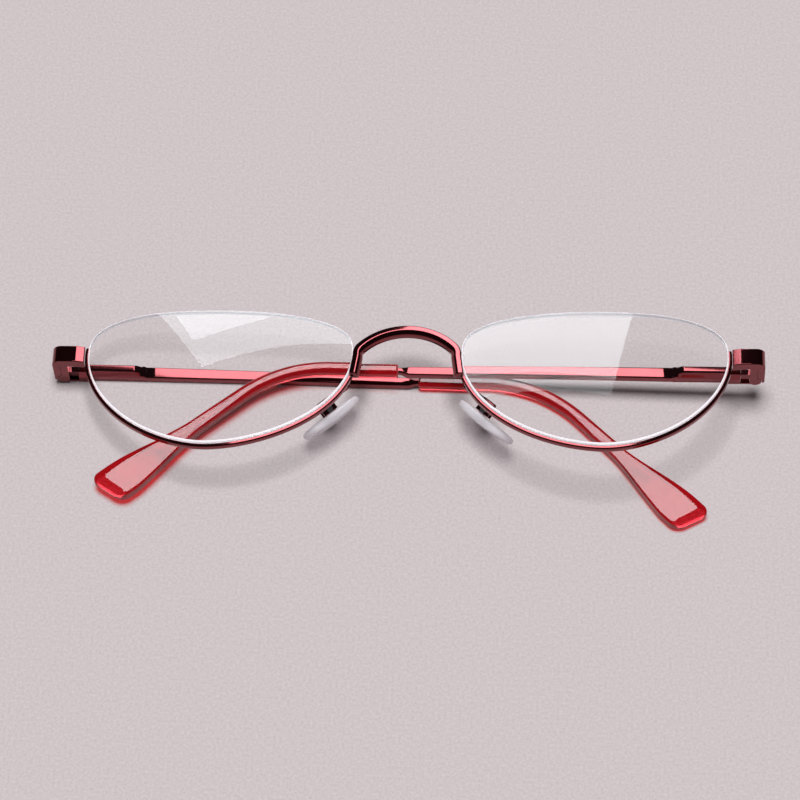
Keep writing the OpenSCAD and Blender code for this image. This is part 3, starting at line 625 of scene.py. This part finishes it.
# %% [markdown]
# ## End pieces
# A cast block wraps round the corner of the front: a front wall soldered to the rim
# and an outer wall that the temple butts against. The scoop clears the hinge eyes. A
# small facet beside the rim leans toward the nose and mirrors the window, while the
# rest of the face mirrors the dark ceiling. A block of one outline is drawn out
# between two planes, and a bevel gives it the soft edges of a polished casting.

# %% Blocks with rounded edges
def two_rings(profile, low, high, axis):
    """A flat profile at two distances along an axis."""
    return np.stack([np.insert(profile, axis, v, axis=1) for v in (low, high)])


def cast_block(name, rings, node, soft, smooth=50):
    """A block between two rings, its edges rounded by a bevel of the soft width."""
    piece = make(name, rings, block(0, rings.shape[1]), dark_metal,
                 "front", "dark_plated_metal", [node], smooth)
    bevel = piece.modifiers.new("soft edges", "BEVEL")
    bevel.width, bevel.segments = soft * MM, 4
    bevel.limit_method, bevel.angle_limit = "ANGLE", np.radians(32)
    bevel.harden_normals = True
    print(name, rings.shape[1], "corners")


# %% End pieces
OUTER_X, CORNER_R, LUG_T, LUG_H, LUG_BACK, LEAF_T = 66.0, 1.6, 1.4, 3.45, 4.3, 1.4
INNER_BACK, EYE_CLEAR_R, FACET_DROP, FACET_W = -0.25, 1.15, 0.36, 1.55
LUG_IN = LENS_X + HALF + RIM_W - 0.02  # the front wall sinks 0.02 mm into the rim
edge_z = float(front_z(np.array([-HALF, 0.0]))) - RIM_SET_BACK
scoop = np.linspace(np.radians(192.6), np.radians(105.2), 9)
scoop = np.stack([-HINGE_X + EYE_CLEAR_R * np.cos(scoop), EYE_CLEAR_R * np.sin(scoop)], -1)
corner = np.linspace(np.pi / 2, np.pi, 12)
corner = np.stack([CORNER_R - OUTER_X + CORNER_R * np.cos(corner),
                   FACE_RISE - CORNER_R + CORNER_R * np.sin(corner)], -1)
lug = np.concatenate([[[-OUTER_X, INNER_BACK]], scoop, [
    [LUG_T - OUTER_X, LUG_BACK], [LUG_T - OUTER_X + LEAF_T, LUG_BACK],
    [-LUG_IN, edge_z - RIM_D], [-LUG_IN, FACE_RISE - FACET_DROP],
    [-LUG_IN - FACET_W, FACE_RISE]], corner])
for name, side in SIDES.items():
    cast_block(f"end_piece_{name}", place_front(two_rings(lug, -LUG_H / 2, LUG_H / 2, 1), side),
               f"endpiece_{name}", 0.3, 10)

# %% [markdown]
# ## Temples
# Each temple starts as a thin butt plate under the spring box, goes on as a flat
# strip, narrows to a round wire, and ends inside the plastic tip. Everything past
# the box drops by a small angle, so that the folded temples lie level.

# %% Middle line of a temple
BOX_START, BOX_LEN, BOX_SLOPE, BOX_TOP = 2.7, 12.7, 2.0, 1.15
BOX_END = BOX_START + BOX_LEN
TIP_START, BEND_START, BEND_R, TIP_END = 66.2, 79.0, 24.5, 129.14
BEND = {"left": np.radians(45.3), "right": np.radians(41.2)}
DROP = {"left": np.radians(0.2), "right": np.radians(-0.45)}
ARM_LOW, TIP_T = -1.7, 2.3
TIP_MID = ARM_LOW + TIP_T / 2


def temple_line(d, name):
    """Straight, then an arc of the ear bend, then straight along its last tangent,
    and all past the box turned down by the drop."""
    turn = BEND[name]
    d = np.asarray(d, float)
    a = np.clip((d - BEND_START) / BEND_R, 0, turn)
    tail = np.clip(d - BEND_START - BEND_R * turn, 0, None)
    x = np.minimum(d, BEND_START) + BEND_R * np.sin(a) + tail * np.cos(turn)
    y = BEND_R * (np.cos(a) - 1) - tail * np.sin(turn)
    x, y = turned(x - BOX_END, y, np.where(d < BOX_END, 0, -DROP[name]))
    return np.stack([BOX_END + x, y], -1)


def at_height(p, z):
    """Adds a height as the third coordinate: one for all points, or one each."""
    z = np.broadcast_to(np.asarray(z, float)[..., None], p.shape[:-1] + (1,))
    return np.concatenate([p, z], -1)


for name in SIDES:
    print(name, "temple ends at", temple_line(TIP_END, name).round(1), "mm from its hinge")

# %% [markdown]
# The spring box is a small block with a roof-shaped top and a blind bore for the
# spring, soldered onto the strip. Its far end is milled to a slope. Here the roof is
# a ring that is cut lower step by step along the slope, and the bore is a second set
# of rings with as many points, so both can be joined round the mouth.

# %% Roof of the spring box
ARM_W, PLATE_HIGH, EAVES, RIDGE, MOUTH_R = 2.35, -1.15, -0.2, 0.6, 0.15
roof = rounded([[-ARM_W / 2, PLATE_HIGH], [ARM_W / 2, PLATE_HIGH], [ARM_W / 2, EAVES],
                [RIDGE, BOX_TOP], [-RIDGE, BOX_TOP], [-ARM_W / 2, EAVES]],
               [0.05, 0.05, 0.25, 0.3, 0.3, 0.25], 8)
slope_at = BOX_LEN - BOX_SLOPE
x = np.concatenate([[0, 0.04, MOUTH_R], np.linspace(0.4, slope_at - 0.2, 12),
                    np.linspace(slope_at - 0.1, BOX_LEN, 12)])
inset = MOUTH_R - np.sqrt(MOUTH_R ** 2 - (MOUTH_R - np.clip(x, 0, MOUTH_R)) ** 2)
middle, reach = np.array([0, 0.1]), 1.1
shape = middle + (roof - middle)[None] * (1 - inset / reach)[:, None, None]
cut = np.clip(x - slope_at, 0, None) * (BOX_TOP + 0.2) / BOX_SLOPE
shape[..., 1] = np.minimum(shape[..., 1], (BOX_TOP - cut)[:, None])
along = np.broadcast_to((BOX_START + x)[:, None, None], shape.shape[:2] + (1,))
box = np.concatenate([along, shape], -1)
print("spring box", box.shape[0], "rings of", box.shape[1], "points")

# %% Spring boxes
BORE, BORE_LEN = 1.5, 9.95
around = np.arctan2(roof[:, 1], roof[:, 0])
hole = np.stack([BORE / 2 * np.cos(around), BORE / 2 * np.sin(around)], -1)
bore = np.array([np.insert(hole, 0, BOX_START + d, axis=1) for d in (0, 5.0, BORE_LEN)])
for name, side in SIDES.items():
    make(f"spring_case_{name}", *bored_skin(place_temple(box, side), place_temple(bore, side)),
         red_metal, f"temple_{name}", "red_plated_metal", [f"spring_box_{name}"])
print(f"spring box {BOX_LEN} mm long, bore {BORE} mm wide and {BORE_LEN} mm deep")

# %% [markdown]
# The arm is one length of wire. It is pressed flat where it shows, pressed thinner
# under the spring box, and left round where it goes into the tip. So it is one run of
# sections that blend from bar to wire, and not three pieces put together.

# %% Arms
ARM_T, ARM_END_W, ARM_LEN, NECK, CORE_D, CORE_LEN = 1.5, 1.8, 64.0, 1.9, 1.2, 50.0


def bar_shape(w, t, soft):
    """A rectangle with rounded corners."""
    return rounded(np.array([[-1, -1], [1, -1], [1, 1], [-1, 1]]) * [w / 2, t / 2], soft, 6)


def temple_arm(name):
    """Stations of width, thickness and middle height along the temple."""
    d = np.concatenate([[0.3, 8.0, BOX_END, BOX_END + 0.02],
                        np.linspace(BOX_END + 0.1, ARM_LEN, 30),
                        np.linspace(ARM_LEN + 0.2, ARM_LEN + NECK, 12),
                        np.linspace(TIP_START, TIP_START + CORE_LEN - 1, 90)])
    taper = np.clip((d - BOX_END) / (ARM_LEN - BOX_END), 0, 1)
    neck = smooth_step(np.clip((d - ARM_LEN) / NECK, 0, 1))
    w = ARM_W + (ARM_END_W - ARM_W) * taper
    plate = d <= BOX_END
    t = np.where(plate, PLATE_HIGH - ARM_LOW, ARM_T)
    mid = np.where(plate, (PLATE_HIGH + ARM_LOW) / 2, ARM_LOW + ARM_T / 2)
    flat = np.array([bar_shape(a, b, min(0.3, b * 0.4)) for a, b in zip(w, t)])
    wire = bar_shape(CORE_D, CORE_D, 0.45)
    k = neck[:, None, None]
    mid = mid + (TIP_MID - mid) * neck
    return carry(at_height(temple_line(d, name), mid), flat * (1 - k) + wire * k, [0, 0, 1])


for name, side in SIDES.items():
    rings = place_temple(temple_arm(name), side)
    make(f"temple_strip_{name}", *skin(rings), red_metal,
         f"temple_{name}", "red_plated_metal", [f"temple_arm_{name}"])
    print(f"temple strip {name}", len(rings), "rings")

# %% [markdown]
# A tip is cut from acetate, shot over the hot wire, bent round the ear and tumbled
# until every edge is round. Its section goes from nearly round at the mouth to a flat
# paddle, so the paddle mirrors the window as one pale field and the sleeve only as a
# line. A superellipse does both, with a power that rises along the tip.

# %% Tips
TIP_W, PADDLE_W, FLARE, END_ROUND, MOUTH_SOFT, TIP_BORE = 2.6, 7.3, 22.5, 2.0, 0.35, 1.38
END_SLANT, SLANT_LEN = np.radians(15), 9.0
ROUND_POWER, FLAT_POWER, POWER_AHEAD = 2.4, 7.5, 12
END_W, END_T = 0.45, 0.2  # shares of width and thickness that the last ring keeps


def temple_tip(name):
    """Superellipse sections that widen by a smooth step and close on a quarter circle.
    Near the end each ring is sheared back toward its lower corner."""
    d = np.concatenate([TIP_START + np.array([0, 0.03, 0.1, 0.2, MOUTH_SOFT]),
                        np.linspace(TIP_START + 0.8, TIP_END - END_ROUND, 110),
                        TIP_END - END_ROUND * (1 - np.sin(np.radians(np.linspace(6, 89, 16))))])
    wider = smooth_step(np.clip((d - TIP_END + FLARE) / (FLARE - 2 * END_ROUND), 0, 1))
    full = TIP_W + (PADDLE_W - TIP_W) * wider
    e = np.clip((d - TIP_END + END_ROUND) / END_ROUND, 0, 1)
    close = np.sqrt(1 - e * e)
    m = np.clip((TIP_START + MOUTH_SOFT - d) / MOUTH_SOFT, 0, 1)
    mouth = 2 * MOUTH_SOFT * (1 - np.sqrt(1 - m * m))
    w = (full - mouth) * (END_W + (1 - END_W) * close)
    t = (TIP_T - mouth) * (END_T + (1 - END_T) * close)
    level = smooth_step(np.clip((d - TIP_END + FLARE + POWER_AHEAD) / FLARE, 0, 1))
    shape = oval(w, t, ROUND_POWER + (FLAT_POWER - ROUND_POWER) * level, 64)
    path = at_height(temple_line(d, name), TIP_MID)
    slant = smooth_step(np.clip((d - TIP_END + SLANT_LEN) / (SLANT_LEN - END_ROUND), 0, 1))
    back = np.tan(END_SLANT) * slant[:, None] * (shape[..., 0] - full[:, None] / 2)
    ahead = unit(np.gradient(path, axis=0))[:, None]
    outer = carry(path, shape, [0, 0, 1]) + back[..., None] * ahead
    b = np.linspace(TIP_START, TIP_START + CORE_LEN, 90)
    core = at_height(temple_line(b, name), TIP_MID)
    return outer, carry(core, oval(TIP_BORE, TIP_BORE, 2, 64), [0, 0, 1])


for name, side in SIDES.items():
    outer, inner = (place_temple(rings, side) for rings in temple_tip(name))
    make(f"red_tip_{name}", *bored_skin(outer, inner), tip_red,
         f"temple_{name}", "clear_red_plastic", [f"temple_tip_{name}"])
    print(f"tip {name}", len(outer), "rings outside,", len(inner), "in the bore")

# %% [markdown]
# ## Nose pads
# A pad is a crowned plate with a hollow back and a small lug. The lug turns on a
# screw in a little box at the end of a wire arm. The plate is one skin of rings, out
# over the crown, round the edge and back through the hollow, because that leaves no
# seam where light would catch. The lug is a plain block that stands in the plate.

# %% Pad frame
PAD = np.array([-14.4, -9.1, 1.3])
PAD_SLOPE, PAD_SPLAY = np.radians(42), np.radians(22)


def in_pad(points):
    """X runs along the pad, Y along its screw, Z toward the nose."""
    p = np.array(points, float)
    y, z = turned(p[..., 1], p[..., 2], np.pi / 2 + PAD_SPLAY)
    x, y = turned(p[..., 0], y, PAD_SLOPE)
    return np.stack([x, y, z], -1) + PAD


print("left pad screw at", place_front(in_pad([0, 0, 0]), -1).round(5), "m")

# %% Pad plate
PAD_LEN, PAD_W, PAD_T, CROWN_R, HOLLOW_R, PAD_STAND = 12.9, 6.4, 1.75, 33.0, 80.0, 0.95
ROUND_SHARE = 0.12  # share of the way out that the rounded edge takes
a = 2 * np.pi * np.arange(96) / 96
pad_outline = np.stack([(PAD_LEN - PAD_W) / 2 * np.tanh(4 * np.cos(a)) + PAD_W / 2 * np.cos(a),
                        PAD_W / 2 * np.sin(a)], -1)


def pad_ring(share, crown):
    """The outline shrunk to a share, on the crown or in the hollow, which are spheres.
    Near the edge both close on the middle along a quarter ellipse."""
    p = pad_outline * share
    reach = (p ** 2).sum(-1)
    top = PAD_STAND + PAD_T - CROWN_R + np.sqrt(CROWN_R ** 2 - reach)
    low = PAD_STAND - HOLLOW_R + np.sqrt(HOLLOW_R ** 2 - reach)
    e = (max(share, 1 - ROUND_SHARE) - 1 + ROUND_SHARE) / ROUND_SHARE
    fall = 0.5 * (top - low) * (1 - np.sqrt(max(1 - e * e, 0)))
    return np.insert(p, 2, top - fall if crown else low + fall, axis=1)


flat_shares = np.linspace(0, 0.86, 12)
round_shares = 1 - ROUND_SHARE * (1 - np.sin(np.linspace(0.2, np.pi / 2, 6)))
plate = np.array([pad_ring(k, True) for k in np.concatenate([flat_shares, round_shares])]
                 + [pad_ring(k, False) for k in np.concatenate([round_shares[-2::-1],
                                                                flat_shares[::-1]])])
print("pad plate", plate.shape[0], "rings of", plate.shape[1], "points")

# %% Pads
PAD_LOW = {"left": 0.5, "right": 1.6}  # how far a pad sits down along its lug
LUG_R, LUG_HALF, LUG_IN_PLATE = 0.75, 0.45, 0.6
a = np.linspace(np.pi, 2 * np.pi, 24)
lug_top = PAD_STAND + LUG_IN_PLATE
lug_side = np.concatenate([[[LUG_R, lug_top], [-LUG_R, lug_top]],
                           np.stack([LUG_R * np.cos(a), LUG_R * np.sin(a)], -1)])
pad_lug = in_pad(two_rings(lug_side, -LUG_HALF, LUG_HALF, 1))
for name, side in SIDES.items():
    dish = in_pad(plate - [PAD_LOW[name], 0, 0])
    points = np.concatenate([place_front(v, side).reshape(-1, 3) for v in (dish, pad_lug)])
    faces = band(0, len(plate), len(pad_outline)) + block(plate.shape[0] * plate.shape[1],
                                                          len(lug_side))
    make(f"clear_pad_{name}", points, faces, pad_clear, f"pad_{name}", "clear_pad_plastic",
         [f"nose_pad_{name}"], 60)
print(f"pads {PAD_LEN} mm long and {PAD_W} mm wide")

# %% [markdown]
# The pad box is a folded and soldered tray, 3 mm long and open toward the nose. The
# pad's lug sits in it on a screw and can rock a little.

# %% Pad boxes
IN, OUT, BACK, AHEAD, SHEET, BOX_HALF = 0.5, 0.9, 1.2, 0.6, 0.4, 1.5
tray = np.array([[-OUT, -BACK], [OUT, -BACK], [OUT, AHEAD], [IN, AHEAD], [IN, SHEET - BACK],
                 [-IN, SHEET - BACK], [-IN, AHEAD], [-OUT, AHEAD]])
tray = in_pad(two_rings(tray, -BOX_HALF, BOX_HALF, 0))
for name, side in SIDES.items():
    cast_block(f"pad_holder_{name}", place_front(tray, side), f"pad_box_{name}", 0.12)

# %% [markdown]
# The pad arm is a 0.9 mm wire that leaves the back of the rim, bends round and lies
# along the back of the box. Opticians bend it to fit, so a smooth curve through four
# control points is nearer to it than arcs and lines.

# %% Pad arms
WIRE_D, KNEE, RUN, STUB = 0.9, 0.9, 2.4, 1.5
ROOT_OUT, ROOT_SINK, BOX_SINK = 0.12, 0.06, 0.02  # so that solder joins it to its neighbours
p, n = edge_run(343, 343.5, 3)
root_xy = p[0] + (RIM_W / 2 + ROOT_OUT) * n[0]
rim_back = front_z(root_xy) - RIM_SET_BACK - RIM_D
root, knee = to_front(root_xy, rim_back + ROOT_SINK), to_front(root_xy, rim_back - KNEE)
behind = -(BACK + WIRE_D / 2 - BOX_SINK)
run, rest = in_pad([RUN, 0, behind]), in_pad([0, 0, behind])
t = np.linspace(0, 1, 30)[:, None]
wire = ((1 - t) ** 3 * root + 3 * (1 - t) ** 2 * t * knee
        + 3 * (1 - t) * t * t * run + t ** 3 * rest)
straight = in_pad([[-x, 0, behind] for x in np.linspace(0.3, STUB, 5)])
path = np.concatenate([wire, straight])
rings = soften_ends(carry(path, oval(WIRE_D, WIRE_D, 2.2, 16), [0.3, -1, 0.3]), 0.3)
for name, side in SIDES.items():
    make(f"pad_wire_{name}", *skin(place_front(rings, side)), dark_metal,
         "front", "dark_plated_metal", [f"pad_arm_{name}"])
print(f"pad arm {run_length(path):.1f} mm long")

# %% [markdown]
# ## Small turned and folded parts
# The hinge eyes, screws, sliders, springs and rings keep their CAD solids, whose
# shapes are right. Eyes, sliders and hinge screws are plated with the frame. Pad
# screws, springs and rings stay bare steel.

# %% Kept solids
KEPT = {("pad_screw", "hinge_spring", "spring_ring"): steel,
        ("front_hinge", "hinge_slider", "hinge_screw"): dark_metal}
for starts, metal in KEPT.items():
    kept = [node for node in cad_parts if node.startswith(starts)]
    for node in kept:
        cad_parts[node].data.materials.clear()
        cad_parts[node].data.materials.append(metal)
    print(metal.name, "on", len(kept), "kept solids")

# %% [markdown]
# ## Paper
# The glasses lie on pale grey paper. Its pulp is clumped into fibres of about half a
# millimetre that differ a little in tone and height, so it is not one flat grey.

# %% Paper floor
paper, tree, out = finish("pale_grey_paper")
pulp = noise(tree, 1900.0, detail=3.0, roughness=0.6)
shader = add(tree, "ShaderNodeBsdfPrincipled", inputs={
    "Base Color": blend(tree, pulp, "#BCB2B4", "#E5DADC"), "Roughness": 0.9,
    "Normal": bump(tree, pulp, 0.25, 0.0001), "Specular IOR Level": 0.1})
tree.links.new(shader.outputs[0], out.inputs["Surface"])
FLOOR = 6  # metres from the middle to a side
mesh = bpy.data.meshes.new("paper_floor")
mesh.from_pydata([(-FLOOR, -FLOOR, 0), (FLOOR, -FLOOR, 0), (FLOOR, FLOOR, 0), (-FLOOR, FLOOR, 0)],
                 [], [(0, 1, 2, 3)])
mesh.materials.append(paper)
floor = bpy.data.objects.new("paper_floor", mesh)
bpy.context.scene.collection.objects.link(floor)
print("paper", 2 * FLOOR, "m wide")

# %% [markdown]
# ## Light
# A soft light hangs above the glasses, so the shadows lie softly right under the
# rims, and a weak one fills from the front. Both are left out of reflections: what
# the metal mirrors is the dark ceiling and the panels of the next step.

# %% Lamps
def aim(location, target):
    """A matrix at a place whose -Z axis points at the target."""
    back = unit(np.array(location, float) - target)
    right = unit(np.cross([0, 0, 1.0] if abs(back[2]) < 0.99 else [0, 1.0, 0], back))
    m = np.eye(4)
    m[:3, 0], m[:3, 1], m[:3, 2], m[:3, 3] = right, np.cross(back, right), back, location
    return Matrix(m.tolist())


def far_lamp(name, location, energy, degrees):
    """A sun that shines from a place toward the glasses; the wider, the softer."""
    light = bpy.data.lights.new(name, "SUN")
    light.energy, light.angle = energy, np.radians(degrees)
    lamp = bpy.data.objects.new(name, light)
    bpy.context.scene.collection.objects.link(lamp)
    lamp.matrix_world = aim(location, np.zeros(3))
    lamp.visible_glossy = lamp.visible_transmission = False
    print(name, energy, "W a square metre")


far_lamp("lamp_above", (-0.03, 0.07, 1.0), 2.8, 28)
far_lamp("fill_in_front", (0.2, -0.5, 1.0), 0.2, 120)

# %% [markdown]
# Panels are there only to be mirrored: they give the lenses their pale window and
# the metal its pink. One real window does this, but its edges reach flat strips,
# curved lenses and tips in different places, so each kind of piece sees a panel of
# its own.

# %% Panels that are only mirrored
PANEL_COLOUR = linear("#F1FCFF")[:3]


def group(name, pieces):
    """A collection of pieces."""
    made = bpy.data.collections.new(name)
    for piece in pieces:
        made.objects.link(piece)
    return made


def mirrored_panel(name, corner, angle, width, depth, radiance, receivers, blockers=()):
    """A flat panel above the table that is seen only in reflections. It starts at its near
    left corner and is turned about Z; power is radiance times area times pi. If blockers
    are given, only they can hide it."""
    c, s = np.cos(np.radians(angle)), np.sin(np.radians(angle))
    m = np.eye(4)
    m[:3, 0], m[:3, 1] = [c, s, 0], [-s, c, 0]
    m[:3, 3] = np.array(corner) + m[:3, 0] * width / 2 + m[:3, 1] * depth / 2
    light = bpy.data.lights.new(name, "AREA")
    light.shape, light.size, light.size_y = "RECTANGLE", width, depth
    light.energy = radiance * width * depth * np.pi
    light.color = PANEL_COLOUR
    panel = bpy.data.objects.new(name, light)
    bpy.context.scene.collection.objects.link(panel)
    panel.matrix_world = Matrix(m.tolist())
    panel.visible_diffuse = panel.visible_camera = panel.visible_transmission = False
    panel.light_linking.receiver_collection = group(name + "_is_seen_by", receivers)
    if blockers:
        panel.light_linking.blocker_collection = group(name + "_is_hidden_by", blockers)
    print(name, "can be mirrored by", [o.name for o in receivers][:3], len(receivers), "in all")


# %% [markdown]
# Bridge, rims, strips and boxes are left out of reflections, because they would
# break up the even pink of the strips and the pale field on the tips, which the
# photograph shows whole.

# %% Who mirrors what
pieces = [o for o in bpy.data.objects if o.type == "MESH" and o is not floor]
for piece in pieces:
    if piece.name.startswith(("bridge_bar", "rim_wire", "temple_strip", "spring_case")):
        piece.visible_glossy = False
tips = [o for o in pieces if o.name.startswith("red_tip")]
metal = [o for o in pieces if o not in (*tips, *lenses.values(), bridge)]  # and small parts
mirrored_panel("window_in_left_lens", (-0.105, 0.209, 0.300), 27, 0.5, 0.35, 11.0,
               [lenses["left"]])
mirrored_panel("window_in_right_lens", (-0.311, 0.210, 0.301), -10, 0.362, 0.38, 8.3,
               [lenses["right"]])
mirrored_panel("window_in_bridge", (-0.036, 0.09, 0.302), 0, 0.13, 0.38, 8.0, [bridge])
mirrored_panel("window_in_metal", (-0.058, 0.09, 0.303), 10, 0.127, 0.38, 6.4, metal, metal)
mirrored_panel("window_in_tips", (-0.115, 0.05, 0.304), 0, 0.2, 0.42, 7.2, tips)

# %% [markdown]
# The room is a dark ceiling that turns pale toward the horizon, like the walls and
# table round a small photo tent. It is what the metal shows where no window is.

# %% Surroundings
world = bpy.data.worlds.new("studio")
bpy.context.scene.world = world
world.use_nodes = True
tree = world.node_tree
tree.nodes.clear()
way = add(tree, "ShaderNodeTexCoord").outputs["Generated"]
height = add(tree, "ShaderNodeSeparateXYZ", inputs={0: way}).outputs["Z"]
rise = add(tree, "ShaderNodeMapRange", {"interpolation_type": "SMOOTHSTEP"},
           {"Value": height, "From Min": 0.05, "From Max": 0.2}).outputs["Result"]
sky = blend(tree, rise, "#C4BFBF", "#303033")
glow = add(tree, "ShaderNodeBackground", inputs={"Color": sky, "Strength": 1.0})
tree.links.new(glow.outputs[0], add(tree, "ShaderNodeOutputWorld").inputs["Surface"])
print("surroundings", world.name)

# %% [markdown]
# ## Camera
# The photograph's view: 58.3 degrees above the table, 700 mm away and turned a
# little. The long lens was found with the size of the glasses in the picture.

# %% Camera
LOOK_DOWN, YAW, AWAY = np.radians(58.3), np.radians(1.78), 700.0
AIM = [-1.6, -3.3, 0]  # millimetres from the middle of the glasses
SENSOR, FOCAL = 36.0, 3752 / 800  # millimetres; picture widths
spin = np.array([[np.cos(YAW), -np.sin(YAW), 0], [np.sin(YAW), np.cos(YAW), 0], [0, 0, 1]])
ahead = spin @ [0, np.cos(LOOK_DOWN), -np.sin(LOOK_DOWN)]
above = spin @ [0, np.sin(LOOK_DOWN), np.cos(LOOK_DOWN)]
stand = (spin @ AIM + CENTRE - AWAY * ahead) * MM
view = np.eye(4)
view[:3, 0], view[:3, 1], view[:3, 2], view[:3, 3] = spin @ [1, 0, 0], above, -ahead, stand
camera = bpy.data.objects.new("camera", bpy.data.cameras.new("camera"))
camera.data.sensor_width, camera.data.lens = SENSOR, FOCAL * SENSOR
camera.data.clip_start = 0.01
camera.matrix_world = Matrix(view.tolist())
bpy.context.scene.collection.objects.link(camera)
bpy.context.scene.camera = camera
bpy.context.scene.view_settings.view_transform = "Standard"
print("camera at", stand.round(3), "m")
